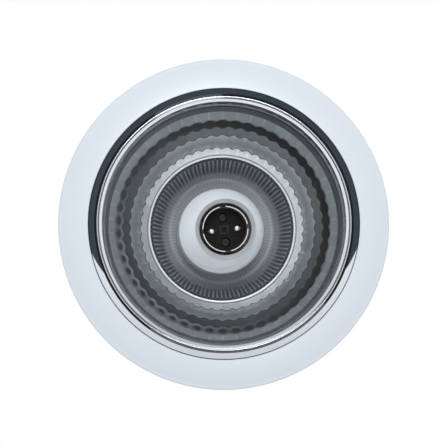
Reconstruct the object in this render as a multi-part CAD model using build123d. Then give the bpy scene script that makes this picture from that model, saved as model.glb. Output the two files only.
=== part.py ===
from build123d import *
import os
from math import cos, pi, radians, sin, sqrt, tan

# A recessed ceiling downlight for a two-pin bayonet lamp, seated in a ceiling.
# Millimetres, +Z up into the ceiling, origin at the middle of the ceiling plane that the flange seats on.
# Seen from below with +X to the right, the top of the view is -Y.

# Trim ring
FLANGE_W = 17.0             # width of the flange outside the collar
FLANGE_EDGE = 2.4           # height of the flange's outer edge
FLANGE_EDGE_ROUND = 1.2     # round on that edge
FLANGE_DROP = 7.0           # how far the flange's inner edge stands below the ceiling
FLANGE_BULGE = 0.5          # crown of the flange's face between its two edges
FLANGE_INNER_ROUND = 0.8    # round on the inner edge of the flange
SEAT_RIM = 3.6              # width of the rim that bears on the ceiling
SEAT_RECESS = 1.2           # depth of the hollow behind that rim
APERTURE_OVER = 2.4         # how far the flange's opening lies outside the collar
LEDGE_IN = 3.4              # how far the ledge for bezel and reflector reaches in from the collar's outside
LEDGE_T = 2.2               # thickness of the ledge
COLLAR_R = 63.0             # outside of the collar that passes through the ceiling
COLLAR_WALL = 1.8
COLLAR_H = 28.0
PAD_W = 20.0                # width of the four flat pads on the collar
PAD_PROUD = 0.6             # how far each pad stands proud of the collar

# Polished bezel ring
BEZEL_GAP = 0.15            # clearance to the aperture and to the ledge
BEZEL_EDGE = 0.4            # how far its outer edge stands back from the flange's face
BEZEL_CREST_IN = 1.8        # how far its crest lies in from the collar's outside
BEZEL_CREST_DROP = 11.0     # how far the crest stands below the ceiling
BEZEL_CREST_ROUND = 0.8
BEZEL_TOP = 6.8             # how far its sleeve runs up above the ceiling
BEZEL_TOP_IN = 4.9          # how far the inside of the sleeve there lies in from the collar's outside

# Faceted reflector
SKIRT_GAP = 0.2             # clearance between the reflector's skirt and the bezel's sleeve
COLLAR_FRONT_IN = 5.3       # how far the front of its smooth collar lies in from the trim's collar
SHEET = 1.0                 # thickness of the reflector's sheet
COLLAR_FACET_STEP = 0.5     # step from the smooth collar to the first facets
FACET_Z0 = 16.0             # height where the facets start
FACET_Z1 = 53.0             # height where they end
FACET_IN = 6.6              # how far their start lies in from the trim's collar
FACET_R1 = 38.2             # radius at the end
FACET_POWER = 1.4           # how the bowl closes towards its neck
FACETS = 50                 # facets in a row
ROW_EDGES = (0.0, 0.287, 0.468, 0.652, 0.879, 1.0)  # share of the height at each row's edge
ROW_ZIGZAG = 0.7            # how far the facets' points reach into the next row
FACET_CROWN = 0.25          # how far each facet's middle stands proud
REFLECTOR_RIM = 0.8         # thickness of the inturned rim at the neck
RIM_W = 0.9                 # width of that rim

# Fluted neck
NECK_CLEAR = 0.25           # clearance in the reflector's rim
NECK_WALL = 0.6
FLUTES = 98
FLUTE_DEPTH = 0.9
NECK_TOP_Z = 77.0           # height where the flutes end
NECK_TAPER = 0.925          # radius there as a share of the radius at the mouth
NECK_BACK_Z = 83.0          # inside of the neck's back
NECK_BACK_T = 0.8
NECK_HOLE_R = 20.5          # hole in the back for the lampholder
NECK_CORNER = 5.4           # corner radius between wall and back
NECK_SHOULDER = 0.5         # ledge on each side of the flutes at both of their ends
NECK_BEAD_OVER = 0.65       # how far the bright front bead covers the rim's edge
NECK_BEAD_H = 1.2           # height of that bead
RING_W = 2.6                # width of the push-on retaining ring
RING_T = 0.8

# Holder bracket
STRAP_W = 16.0
STRAP_T = 1.5
STRAP_FOOT_Z = 5.0          # lower end of the feet
STRAP_BEND_Z = 42.0         # height where the legs start to lean in
STRAP_BEND_R = 6.0
CROWN_Z = 109.0             # underside of the crown, on the axis
CROWN_OVER = 2.0            # how far the crown runs past the terminal box
HOLDER_LEAN = 2.6           # degrees that the crown, and the holder on it, hang off square
HOLDER_SHIFT = -0.8         # sideways place of the holder's hole in the crown
HOLDER_TURN = -7.0          # degrees that the holder is turned on its stem
FOOT_SCREW_Z = (11.0, 22.0)
SCREW_R = 1.75              # shank of the larger screws
SCREW_HEAD_R = 3.4
SCREW_HEAD_H = 2.0
SMALL_SCREW_R = 1.25        # shank of the smaller screws
SMALL_HEAD_R = 2.4
SMALL_HEAD_H = 1.5
HOLE_CLEAR = 0.1            # clearance round a screw or rivet in its hole
SCREW_THROUGH = 1.5         # how far a larger screw stands out behind the sheet it holds

# Lampholder, with heights from the underside of the crown
MOUTH_Z = -58.0
MOUTH_R = 15.4              # outer radius at the mouth
MOUTH_EDGE = 0.6            # height of the mouth's straight edge
SKIRT_Z = -27.3             # edge of the skirt
SKIRT_R = 22.1
SKIRT_EDGE = 1.2            # height of the skirt's straight edge
SKIRT_BULGE = 1.1           # crown of the skirt's side
SKIRT_WALL = 1.9
SKIRT_SLOPE = 2.5           # rise over run inside the skirt
SOCKET_R = 13.4             # bore that leaves room for the lamp's side pins
MOUTH_BEVEL_W = 1.6
MOUTH_BEVEL_H = 2.5
BELL_TUBE_WALL = 1.8
BELL_TOP_Z = -16.0
LIP_Z = -41.6               # inner lip that traps the sleeve
LIP_T = 0.7
LIP_R = 12.3
SLEEVE_R = 11.25            # bore of the bayonet sleeve
SLEEVE_WALL = 0.5
SLEEVE_SET = 1.0            # how far the sleeve's edge stands inside the mouth
SLEEVE_BORE_L = 7.5         # length of the bore that takes the lamp's cap
SLEEVE_STEP = 0.2           # step from that bore to the part that grips the block
SLEEVE_FLANGE_R = 12.9
SLEEVE_FLANGE_T = 0.6
SLOT_W = 3.0                # bayonet slots
SLOT_DEEP = 6.5
SLOT_SIDE = 4.2
NOTCH_W = 2.4               # small notches between the slots
NOTCH_DEEP = 2.5
BLOCK_FACE_Z = -46.2        # front of the contact block
BLOCK_FLANGE_T = 3.0
BLOCK_BACK_Z = -26.0
BLOCK_GAP = 0.1             # clearance round the block
BOSS_SQUARE = 5.0           # small square boss in the middle of the block
BOSS_H = 1.2
BOSS_HOLE_R = 1.2
CONTACT_X = 6.7             # contact plungers, out from the axis
PLUNGER_R = 2.1
PLUNGER_CLEAR = 0.08
PLUNGER_OUT = 3.0           # how far a plunger stands out of the block
PLUNGER_COLLAR_R = 2.85
PLUNGER_COLLAR_T = 1.5
CHAMBER_R = 3.0             # spring chamber behind a plunger
CHAMBER_STEP_Z = -43.0
COLLAR_REST = 0.2           # gap between a plunger's collar and its step
GUARD_R = 3.6               # raised ring round each plunger
GUARD_H = 0.7
PLUNGER_SPRING_R = 2.2      # centre line of the plunger's spring
PLUNGER_WIRE_R = 0.35
PLUNGER_TURNS = 6
SPRING_SEAT = 0.1           # gap at each end of a spring
BLOCK_SCREW_Y = 6.4         # two screws that hold the block
BLOCK_SCREW_SINK = 3.0      # depth of their heads in the block
TERMINAL_PLUG = 3.0         # part of a terminal inside the chamber
TERMINAL_R = 3.6
TERMINAL_H = 10.0
TERMINAL_HOLE = 7.0         # depth of the hole for the lead
CAP_WALL = 2.0
CAP_EDGE_Z = -22.0
CAP_SHOULDER_Z = -9.0       # where the cap's side turns into its dome
CAP_TOP_R = 10.0
CAP_TOP_GAP = 0.2           # gap between the cap's top and the crown
CAP_TOP_WALL = 3.3
CAP_CLEAR = 0.3             # clearance between cap and bell
CAP_BOSS_R = 3.2
CAP_DOME = 1.4              # crown of the cap's dome
BOSS_BITE = 9.0             # length of thread in a boss

# Stem, washer and nut
STEM_R = 5.0
STEM_BORE_R = 3.4
STEM_FLANGE_R = 7.5
STEM_FLANGE_T = 2.0
STEM_TOP = 9.0              # above the crown's underside
STEM_CLEAR = 0.1
STEM_ROOM = 1.0             # room under the stem's flange
WASHER_R = 8.4
WASHER_T = 0.8
NUT_ACROSS = 14.0
NUT_H = 4.5

# Terminal box, in the crown's own directions
BOX_X0 = 12.0
BOX_L = 35.0
BOX_W = 44.0
BOX_H = 19.0
BOX_WALL = 1.6
BOX_ROUND = 3.0
LID_T = 2.0
LID_LIP = 1.6
LID_CLEAR = 0.2
WINDOW_W = 27.0
WINDOW_H = 8.0
POST_R = 2.9
POST_MERGE = 0.4            # how far a corner post runs into the wall
POST_BITE = 8.0             # length of a screw in its post
BLOCK_L = 15.0
BLOCK_W = 25.0
BLOCK_H = 14.0
BLOCK_SET = 4.0             # room between the block and the wall away from the cable
POLE_PITCH = 8.0
POLE_Z = 11.0               # height of the poles above the crown's underside
INSERT_R = 2.6
INSERT_BORE_R = 1.5
INSERT_L = 13.0
INSERT_CLEAR = 0.1
POLE_SCREW_X = 3.6          # terminal screws, either side of the block's middle
POLE_SCREW_R = 1.3
POLE_SCREW_HEAD_R = 1.9
CABLE_Z = 10.2              # height of the cable entry
CABLE_BORE_R = 3.9
GROMMET_R = 5.0             # groove of the grommet, in the box's wall
GROMMET_FLANGE_R = 6.8
GROMMET_FLANGE_T = 2.0
CLAMP_W = 4.6
CLAMP_T = 3.0
CLAMP_GAP = 0.3             # clearance between clamp, posts and cable

# Leads and earth point
LEAD_R = 1.0
LEAD_TUCK = 4.0             # length of a lead inside its terminal
LEAD_HALF_GAP = 1.3         # leads side by side in the stem
LEAD_RISE = 3.5             # straight end of a lead above its holder terminal
LEAD_SLANT = 6.0            # height over which it leans in to the stem
LEAD_LOOP = 8.0             # corner of its loop above the stem
LEAD_STRAIGHT = 3.0         # straight end in front of the terminal block
EARTH_X = -20.0
TAG_R = 4.0
TAG_T = 0.8
TAG_BARREL_R = 1.7
TAG_BARREL_Y = 6.0
TAG_BARREL_L = 6.0
TAG_MERGE = 1.0             # how far the tag's neck runs under its barrel
EARTH_RUN = 5.0             # straight run of the earth lead out of its tag
EARTH_SWING = 11.0          # how far it swings over along the crown
EARTH_RISE = 4.0            # how far it rises, and moves out, on that swing
EARTH_NEAR = 8.0            # corner of the lead before the box's window
EARTH_BESIDE = 6.0          # how far that corner lies beside its pole
EARTH_DIP = 0.5             # how far it lies below its pole
EARTH_STRAIGHT = 4.0        # straight end in front of the terminal block

# Spring clips on the collar
CLIP_BASE_W = 18.0
CLIP_SHEET = 1.0
CLIP_Z0 = 4.5               # lower end of the clip's bracket
CLIP_Z1 = 27.0
EAR_Z0 = 15.0               # lower end of its ears
PIN_OUT = 4.4               # pin's axis, out from the pad
PIN_Z = 22.0
PIN_R = 1.25
PIN_CLEAR = 0.05
PIN_HEAD_R = 2.2
PIN_HEAD_T = 0.9
EAR_OVER = 3.4              # how far the ears reach past the pin
ARM_GAP = 0.3               # gap between the arm's ears and the bracket's
ARM_REST = 80.0             # degrees below level that the arms point at rest
ARM_EAR_R = 2.3
ARM_EAR_L = 6.5
ARM_PLATE_V = 0.6           # inner face of the arm's plate, out from the pin's axis
ARM_PLATE_U = 3.9           # start of the plate, along the arm
SLEEVE_LENGTH = 7.0         # soft sleeve on the arm's tip
SLEEVE_THICK = 1.0
SLEEVE_FIT = 0.05
SLEEVE_FLOOR_GAP = 0.3      # gap between the sleeve and the hollow behind the flange
CLIP_COIL_R = 2.5           # centre line of the clip's spring
CLIP_WIRE_R = 0.6
CLIP_PITCH = 1.7
CLIP_TURNS = 3              # whole turns, besides the part turn between the legs
LEG_DOWN = 7.0              # spring leg on the bracket
LEG_OUT = 11.0              # spring leg on the arm
RIVET_X = 5.6
RIVET_Z = 11.0
RIVET_R = 1.5
RIVET_HEAD_R = 2.3
RIVET_HEAD_T = 0.9

DOWN = (Align.CENTER, Align.CENTER, Align.MAX)
UP = (Align.CENTER, Align.CENTER, Align.MIN)

FLANGE_R = COLLAR_R + FLANGE_W
PAD_FACE = COLLAR_R + PAD_PROUD
APERTURE_R = COLLAR_R + APERTURE_OVER
LEDGE_R = COLLAR_R - LEDGE_IN
BEZEL_CREST_R = COLLAR_R - BEZEL_CREST_IN
BEZEL_TOP_R = COLLAR_R - BEZEL_TOP_IN
COLLAR_FRONT_R = COLLAR_R - COLLAR_FRONT_IN
FACET_R0 = COLLAR_R - FACET_IN
CROWN_HALF = BOX_X0 + BOX_L + CROWN_OVER
CLAMP_L = 2 * (CABLE_BORE_R + CLAMP_GAP + 2 * POST_R)
CAP_R = SOCKET_R + BELL_TUBE_WALL + CAP_CLEAR + CAP_WALL
LEDGE_BACK = -SEAT_RECESS
LEDGE_Z = LEDGE_BACK - LEDGE_T
CROWN = Location((HOLDER_SHIFT, 0, CROWN_Z), (0, -HOLDER_LEAN, 0))
HOLDER = CROWN * Location((0, 0, 0), (0, 0, HOLDER_TURN))


def save(name, *solids):
    """Write one node, as one solid or as a group of separate solids."""
    shape = solids[0] if len(solids) == 1 else Compound(children=list(solids))
    export_step(shape, f"parts/{name}.step")


def turned(*edges):
    """Solid of revolution about Z from a closed outline of edges in radius and height."""
    return revolve(Plane.XZ * make_face(edges), Axis.Z)


def turned_polygon(*points):
    """Solid of revolution about Z from a polygon in radius and height."""
    return turned(Polyline(*points, close=True))


def bulged(start, end, bulge):
    """Arc between two points that stands out to the right of the way from start to end."""
    a, b = Vector(*start), Vector(*end)
    along = (b - a).normalized()
    middle = (a + b) * 0.5 + Vector(along.Y, -along.X) * bulge
    return ThreePointArc(a, middle, b)


def screw(shank_r, length, head_r, head_h):
    """Slotted pan-head screw with the underside of its head at z = 0, pointing down."""
    head = fillet(Cylinder(head_r, head_h, align=UP).edges().sort_by(Axis.Z)[-1], head_h * 0.4)
    slot = Pos(0, 0, head_h) * Box(2 * head_r, head_r * 0.3, head_h * 0.8)
    return head + Cylinder(shank_r, length, align=DOWN) - slot


def large_screw(length):
    """Screw of the larger size."""
    return screw(SCREW_R, length, SCREW_HEAD_R, SCREW_HEAD_H)


def small_screw(length):
    """Screw of the smaller size."""
    return screw(SMALL_SCREW_R, length, SMALL_HEAD_R, SMALL_HEAD_H)


def rounded_box(length, width, height, radius):
    """Box on z = 0 with its upright edges rounded."""
    return extrude(RectangleRounded(length, width, radius), height)


def polyhedron(outlines):
    """Solid closed by flat faces, each given by its corner points."""
    return Solid(Shell([Face(Wire.make_polygon(points, close=True)) for points in outlines]))


# Trim ring

def trim_ring():
    """Cast flange with its ceiling rim, inner ledge, collar and four flat pads."""
    edge_front = (FLANGE_R - FLANGE_EDGE_ROUND, -FLANGE_EDGE)
    edge_side = (FLANGE_R, -FLANGE_EDGE + FLANGE_EDGE_ROUND)
    inner_front = (APERTURE_R + FLANGE_INNER_ROUND, -FLANGE_DROP)
    inner_side = (APERTURE_R, -FLANGE_DROP + FLANGE_INNER_ROUND)
    collar_in = COLLAR_R - COLLAR_WALL
    rim_in = FLANGE_R - SEAT_RIM
    ring = turned(
        bulged(inner_front, edge_front, FLANGE_BULGE),
        RadiusArc(edge_front, edge_side, -FLANGE_EDGE_ROUND),
        Polyline(
            edge_side,
            (FLANGE_R, 0),
            (rim_in, 0),
            (rim_in, -SEAT_RECESS),
            (COLLAR_R, -SEAT_RECESS),
            (COLLAR_R, COLLAR_H),
            (collar_in, COLLAR_H),
            (collar_in, LEDGE_BACK),
            (LEDGE_R, LEDGE_BACK),
            (LEDGE_R, LEDGE_Z),
            (APERTURE_R, LEDGE_Z),
            inner_side,
        ),
        RadiusArc(inner_side, inner_front, -FLANGE_INNER_ROUND),
    )
    bore = Cylinder(COLLAR_R - COLLAR_WALL / 2, 4 * COLLAR_H)
    pad = Box(2 * PAD_FACE, PAD_W, COLLAR_H - LEDGE_BACK, align=UP) - bore
    for turn in (0, 90):
        ring += Rot(0, 0, turn) * Pos(0, 0, LEDGE_BACK) * pad
    for place in foot_screws():
        ring -= place * Cylinder(SCREW_R + HOLE_CLEAR, 8 * COLLAR_WALL)
    for place in clip_places():
        for rivet in rivet_places():
            ring -= place * rivet * Cylinder(RIVET_R + HOLE_CLEAR, 8 * COLLAR_WALL)
    return ring


def bezel_ring():
    """Bright ring that stands out below the flange, with a sleeve that runs up through the ledge."""
    foot = APERTURE_R - BEZEL_GAP
    sleeve = LEDGE_R - BEZEL_GAP
    crest = -BEZEL_CREST_DROP
    crest_out = (BEZEL_CREST_R + BEZEL_CREST_ROUND, crest + BEZEL_CREST_ROUND / 2)
    crest_in = (BEZEL_CREST_R - BEZEL_CREST_ROUND, crest + BEZEL_CREST_ROUND / 2)
    return turned(
        Polyline(
            crest_out,
            (foot, -FLANGE_DROP + BEZEL_EDGE),
            (foot, LEDGE_Z),
            (sleeve, LEDGE_Z),
            (sleeve, BEZEL_TOP),
            (BEZEL_TOP_R, BEZEL_TOP),
            crest_in,
        ),
        ThreePointArc(crest_in, (BEZEL_CREST_R, crest), crest_out),
    )


# Reflector and neck

def bowl_radius(share):
    """Radius of the bowl at a share of the facets' height."""
    return FACET_R0 - (FACET_R0 - FACET_R1) * max(share, 0.0) ** FACET_POWER


def bowl_height(share):
    """Height above the ceiling plane at a share of the facets' height."""
    return FACET_Z0 + (FACET_Z1 - FACET_Z0) * share


def bowl_point(share, half_pitches, lift=0.0, proud=0.0):
    """Point on the bowl, a number of half facets round, lifted and set proud of the surface."""
    z = bowl_height(share) + lift
    r = bowl_radius((z - FACET_Z0) / (FACET_Z1 - FACET_Z0)) - proud
    angle = pi * half_pitches / FACETS
    return Vector(r * cos(angle), r * sin(angle), z)


def row_edge(row, half_pitch):
    """Corner on the edge below a row: its points reach up between the facets of that row."""
    inside = 0 < row < len(ROW_EDGES) - 1
    reach = ROW_ZIGZAG if (half_pitch + row) % 2 else -ROW_ZIGZAG
    return bowl_point(ROW_EDGES[row], half_pitch, reach if inside else 0.0)


def facet_core():
    """Plug that leaves rows of crowned six-sided facets, each row half a facet round from the last."""
    faces = []
    around = range(2 * FACETS)
    below = [bowl_point(0, i) - Vector(0, 0, COLLAR_FACET_STEP) for i in around]
    for i in around:
        j = (i + 1) % (2 * FACETS)
        faces.append([below[i], below[j], row_edge(0, j), row_edge(0, i)])
    for row in range(len(ROW_EDGES) - 1):
        middle = (ROW_EDGES[row] + ROW_EDGES[row + 1]) / 2
        for facet in range(FACETS):
            c = 2 * facet + row % 2
            lower = [row_edge(row, i % (2 * FACETS)) for i in (c - 1, c, c + 1)]
            upper = [row_edge(row + 1, i % (2 * FACETS)) for i in (c + 1, c, c - 1)]
            loop = lower + upper
            tip = bowl_point(middle, c, proud=FACET_CROWN)
            faces += [[tip, loop[k], loop[(k + 1) % 6]] for k in range(6)]
    faces.append(below[::-1])
    faces.append([row_edge(len(ROW_EDGES) - 1, i) for i in around])
    return polyhedron(faces)


def faceted_reflector():
    """Pressed bowl with a front skirt on the ledge, a smooth collar, rows of facets and an inturned rim."""
    skirt_in = LEDGE_R - BEZEL_GAP + SKIRT_GAP
    skirt_out = skirt_in + SHEET
    step = BEZEL_TOP + SKIRT_GAP
    bowl_in = FACET_R0 + COLLAR_FACET_STEP
    top = FACET_Z1 + REFLECTOR_RIM
    outside = [Vector(bowl_radius(share) + SHEET, bowl_height(share)) for share in ROW_EDGES]
    outside[0] = Vector(bowl_in + SHEET, FACET_Z0)
    shell = turned(
        Polyline(
            (0, step),
            (skirt_in, step),
            (skirt_in, LEDGE_BACK),
            (skirt_out, LEDGE_BACK),
            (skirt_out, step + SHEET),
            (COLLAR_FRONT_R + SHEET, step + SHEET),
            outside[0],
        ),
        Spline(*outside),
        Polyline(outside[-1], (outside[-1].X, top), (0, top), (0, step)),
    )
    shell -= turned_polygon(
        (0, step - SHEET),
        (COLLAR_FRONT_R, step - SHEET),
        (COLLAR_FRONT_R, step),
        (bowl_in, FACET_Z0),
        (0, FACET_Z0),
    )
    shell -= facet_core()
    return shell - Pos(0, 0, FACET_Z1) * Cylinder(neck_hole_r(), 4 * REFLECTOR_RIM)


def neck_hole_r():
    """Hole in the reflector's rim."""
    return FACET_R1 - RIM_W


def flute_outline(scale, z, grow):
    """Corners of the zigzag section of the flutes."""
    outer = neck_hole_r() - NECK_CLEAR - NECK_WALL + grow
    points = []
    for i in range(2 * FLUTES):
        r = scale * (outer - (FLUTE_DEPTH if i % 2 else 0.0))
        points.append(Vector(r * cos(pi * i / FLUTES), r * sin(pi * i / FLUTES), z))
    return points


def fluted_neck():
    """Thin cup of radial flutes with a bright front bead and a plain back round the lampholder."""
    mouth_z = FACET_Z1
    scales = ((1.0, mouth_z), (NECK_TAPER, NECK_TOP_Z))
    inside = [flute_outline(s, z, 0.0) for s, z in scales]
    outside = [flute_outline(s, z, NECK_WALL) for s, z in scales]
    count = 2 * FLUTES
    faces = []
    for low, high in (inside, outside):
        for i in range(count):
            j = (i + 1) % count
            faces.append(Face(Wire.make_polygon([low[i], low[j], high[j], high[i]], close=True)))
    for level in (0, 1):
        outer = Wire.make_polygon(outside[level], close=True)
        inner = Wire.make_polygon(inside[level], close=True)
        faces.append(Face(outer, [inner]))
    wall = Solid(Shell(faces))
    wall_out = neck_hole_r() - NECK_CLEAR
    wall_in = wall_out - NECK_WALL - FLUTE_DEPTH
    bead_in = wall_in - NECK_SHOULDER
    bead_out = neck_hole_r() + NECK_BEAD_OVER
    bead = turned(
        Line((bead_out, mouth_z), (bead_in, mouth_z)),
        ThreePointArc((bead_in, mouth_z), ((bead_in + bead_out) / 2, mouth_z - NECK_BEAD_H), (bead_out, mouth_z)),
    )
    back_in = NECK_TAPER * wall_in - NECK_SHOULDER
    back_out = NECK_TAPER * wall_out + NECK_SHOULDER
    outer_corner = NECK_BACK_Z + NECK_BACK_T - NECK_TOP_Z
    back = turned(
        Line((back_in, NECK_TOP_Z), (back_in, NECK_BACK_Z - NECK_CORNER)),
        RadiusArc((back_in, NECK_BACK_Z - NECK_CORNER), (back_in - NECK_CORNER, NECK_BACK_Z), NECK_CORNER),
        Polyline(
            (back_in - NECK_CORNER, NECK_BACK_Z),
            (NECK_HOLE_R, NECK_BACK_Z),
            (NECK_HOLE_R, NECK_BACK_Z + NECK_BACK_T),
            (back_out - outer_corner, NECK_BACK_Z + NECK_BACK_T),
        ),
        RadiusArc((back_out - outer_corner, NECK_BACK_Z + NECK_BACK_T), (back_out, NECK_TOP_Z), outer_corner),
        Line((back_out, NECK_TOP_Z), (back_in, NECK_TOP_Z)),
    )
    return wall + bead + back


def neck_retaining_ring():
    """Push-on ring that grips the neck behind the reflector's rim."""
    inner = neck_hole_r() - NECK_CLEAR + HOLE_CLEAR
    z = FACET_Z1 + REFLECTOR_RIM
    return Pos(0, 0, z) * (Cylinder(inner + RING_W, RING_T, align=UP) - Cylinder(inner, 4 * RING_T))


# Holder bracket

def foot_screws():
    """Places of the screws in the bracket's feet, each looking out along its own axis."""
    places = []
    for side in (0, 180):
        for z in FOOT_SCREW_Z:
            places.append(Rot(0, 0, side) * Location((PAD_FACE + STRAP_T, 0, z), (0, 90, 0)))
    return places


def box_screw_x():
    """Places along the crown of the two screws that hold the terminal box."""
    inset = BOX_WALL + SCREW_HEAD_R + HOLE_CLEAR
    return BOX_X0 + inset, BOX_X0 + BOX_L - inset


def holder_bracket():
    """Bent strap from the collar's pads up over the neck, with a crown that carries the holder."""
    x = PAD_FACE + STRAP_T / 2
    ends = [CROWN * Pos(side * CROWN_HALF, 0, STRAP_T / 2) for side in (-1, 1)]
    route = FilletPolyline(
        (-x, 0, STRAP_FOOT_Z),
        (-x, 0, STRAP_BEND_Z),
        ends[0].position,
        ends[1].position,
        (x, 0, STRAP_BEND_Z),
        (x, 0, STRAP_FOOT_Z),
        radius=STRAP_BEND_R,
    )
    start = Plane(origin=route @ 0, x_dir=(1, 0, 0), z_dir=route % 0)
    strap = sweep(start * Rectangle(STRAP_T, STRAP_W), path=route)
    strap -= CROWN * Cylinder(STEM_R + STEM_CLEAR, 4 * STRAP_T)
    for place in foot_screws():
        strap -= place * Cylinder(SCREW_R + HOLE_CLEAR, 4 * STRAP_T)
    for hole_x in (*box_screw_x(), EARTH_X):
        strap -= CROWN * Pos(hole_x, 0, 0) * Cylinder(SCREW_R + HOLE_CLEAR, 4 * STRAP_T)
    return strap


# Lampholder pieces, standing on their own axis

def holder_bell():
    """White bell with a bevelled mouth, a socket bore, an inner lip and a flared skirt."""
    tube_r = SOCKET_R + BELL_TUBE_WALL
    mouth_edge = (MOUTH_R, MOUTH_Z + MOUTH_EDGE)
    skirt_low = (SKIRT_R, SKIRT_Z - SKIRT_EDGE)
    bell = turned(
        Polyline(
            (SOCKET_R, MOUTH_Z + MOUTH_BEVEL_H),
            (SOCKET_R + MOUTH_BEVEL_W, MOUTH_Z),
            mouth_edge,
        ),
        bulged(mouth_edge, skirt_low, SKIRT_BULGE),
        Polyline(
            skirt_low,
            (SKIRT_R, SKIRT_Z),
            (SKIRT_R - SKIRT_WALL, SKIRT_Z),
            (tube_r, SKIRT_Z - (SKIRT_R - SKIRT_WALL - tube_r) * SKIRT_SLOPE),
            (tube_r, BELL_TOP_Z),
            (SOCKET_R, BELL_TOP_Z),
            (SOCKET_R, LIP_Z + LIP_T),
            (LIP_R, LIP_Z + LIP_T),
            (LIP_R, LIP_Z),
            (SOCKET_R, LIP_Z),
            (SOCKET_R, MOUTH_Z + MOUTH_BEVEL_H),
        ),
    )
    return bell


def bayonet_sleeve():
    """Plated sleeve with two bayonet slots, two small notches and a back flange."""
    front = MOUTH_Z + SLEEVE_SET
    step = front + SLEEVE_BORE_L
    flange = LIP_Z + LIP_T
    grip_r = SLEEVE_R - SLEEVE_STEP
    sleeve = turned_polygon(
        (SLEEVE_R, front),
        (SLEEVE_R + SLEEVE_WALL, front),
        (SLEEVE_R + SLEEVE_WALL, flange),
        (SLEEVE_FLANGE_R, flange),
        (SLEEVE_FLANGE_R, flange + SLEEVE_FLANGE_T),
        (grip_r, flange + SLEEVE_FLANGE_T),
        (grip_r, step),
        (SLEEVE_R, step),
    )
    reach = 2 * SLEEVE_R
    slot = Box(SLOT_W, reach, SLOT_DEEP, align=(Align.CENTER, Align.MIN, Align.MIN))
    side = Box(SLOT_W / 2 + SLOT_SIDE, reach, SLOT_W, align=(Align.MIN, Align.MIN, Align.MAX))
    slot += Pos(0, 0, SLOT_DEEP) * side
    notch = Box(NOTCH_W, reach, NOTCH_DEEP, align=(Align.CENTER, Align.MIN, Align.MIN))
    for turn in (0, 180):
        sleeve -= Rot(0, 0, turn) * Pos(0, 0, front) * slot
        sleeve -= Rot(0, 0, turn + 90) * Pos(0, 0, front) * notch
    return sleeve


def block_back_flange_z():
    """Front of the contact block's flange, on the back of the sleeve's flange."""
    return LIP_Z + LIP_T + SLEEVE_FLANGE_T


def contact_block():
    """Dark moulded block with two sprung contacts' chambers, a square boss and two sunk screw holes."""
    post_r = SLEEVE_R - SLEEVE_STEP - BLOCK_GAP
    flange_z = block_back_flange_z()
    block = Pos(0, 0, BLOCK_FACE_Z) * Cylinder(post_r, BLOCK_BACK_Z - BLOCK_FACE_Z, align=UP)
    block += Pos(0, 0, flange_z) * Cylinder(SOCKET_R - BLOCK_GAP, BLOCK_FLANGE_T, align=UP)
    boss = Box(BOSS_SQUARE, BOSS_SQUARE, BOSS_H, align=DOWN) - Cylinder(BOSS_HOLE_R, 4 * BOSS_H)
    block += Pos(0, 0, BLOCK_FACE_Z) * boss
    for side in (-1, 1):
        place = Pos(side * CONTACT_X, 0, 0)
        block += place * Pos(0, 0, BLOCK_FACE_Z) * Cylinder(GUARD_R, GUARD_H, align=DOWN)
        bore_l = BLOCK_BACK_Z - BLOCK_FACE_Z + GUARD_H
        bore = Cylinder(PLUNGER_R + PLUNGER_CLEAR, bore_l, align=UP)
        block -= place * Pos(0, 0, BLOCK_FACE_Z - GUARD_H) * bore
        chamber = Cylinder(CHAMBER_R, BLOCK_BACK_Z - CHAMBER_STEP_Z, align=UP)
        block -= place * Pos(0, 0, CHAMBER_STEP_Z) * chamber
        hole = Pos(0, side * BLOCK_SCREW_Y, BLOCK_FACE_Z)
        block -= hole * Cylinder(SMALL_HEAD_R + HOLE_CLEAR, BLOCK_SCREW_SINK, align=UP)
        block -= hole * Cylinder(SMALL_SCREW_R + HOLE_CLEAR, BLOCK_BACK_Z - BLOCK_FACE_Z, align=UP)
    return block


def plunger_collar_z():
    """Front of a plunger's collar."""
    return CHAMBER_STEP_Z + COLLAR_REST


def contact_plunger():
    """Round-nosed brass contact with a collar that keeps it in its chamber."""
    tip = BLOCK_FACE_Z - PLUNGER_OUT
    back = plunger_collar_z() + PLUNGER_COLLAR_T
    return turned(
        CenterArc((0, tip + PLUNGER_R), PLUNGER_R, -90, 90),
        Polyline(
            (PLUNGER_R, tip + PLUNGER_R),
            (PLUNGER_R, plunger_collar_z()),
            (PLUNGER_COLLAR_R, plunger_collar_z()),
            (PLUNGER_COLLAR_R, back),
            (0, back),
            (0, tip),
        ),
    )


def holder_terminal():
    """Brass terminal that closes a spring chamber and takes a lead from above."""
    plug = Pos(0, 0, -TERMINAL_PLUG) * Cylinder(CHAMBER_R - BLOCK_GAP, TERMINAL_PLUG, align=UP)
    barrel = Cylinder(TERMINAL_R, TERMINAL_H, align=UP)
    hole = Pos(0, 0, TERMINAL_H) * Cylinder(LEAD_R + HOLE_CLEAR, TERMINAL_HOLE, align=DOWN)
    side_hole = Pos(0, 0, TERMINAL_H / 2) * Rot(-90, 0, 0) * Cylinder(SMALL_SCREW_R + HOLE_CLEAR, 2 * TERMINAL_R, align=UP)
    return plug + barrel - hole - side_hole


def terminal_clamp_screw():
    """Screw in the side of a holder terminal, in to the lead."""
    length = TERMINAL_R - LEAD_R - HOLE_CLEAR
    return Location((0, TERMINAL_R, TERMINAL_H / 2), (-90, 0, 0)) * small_screw(length)


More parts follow.
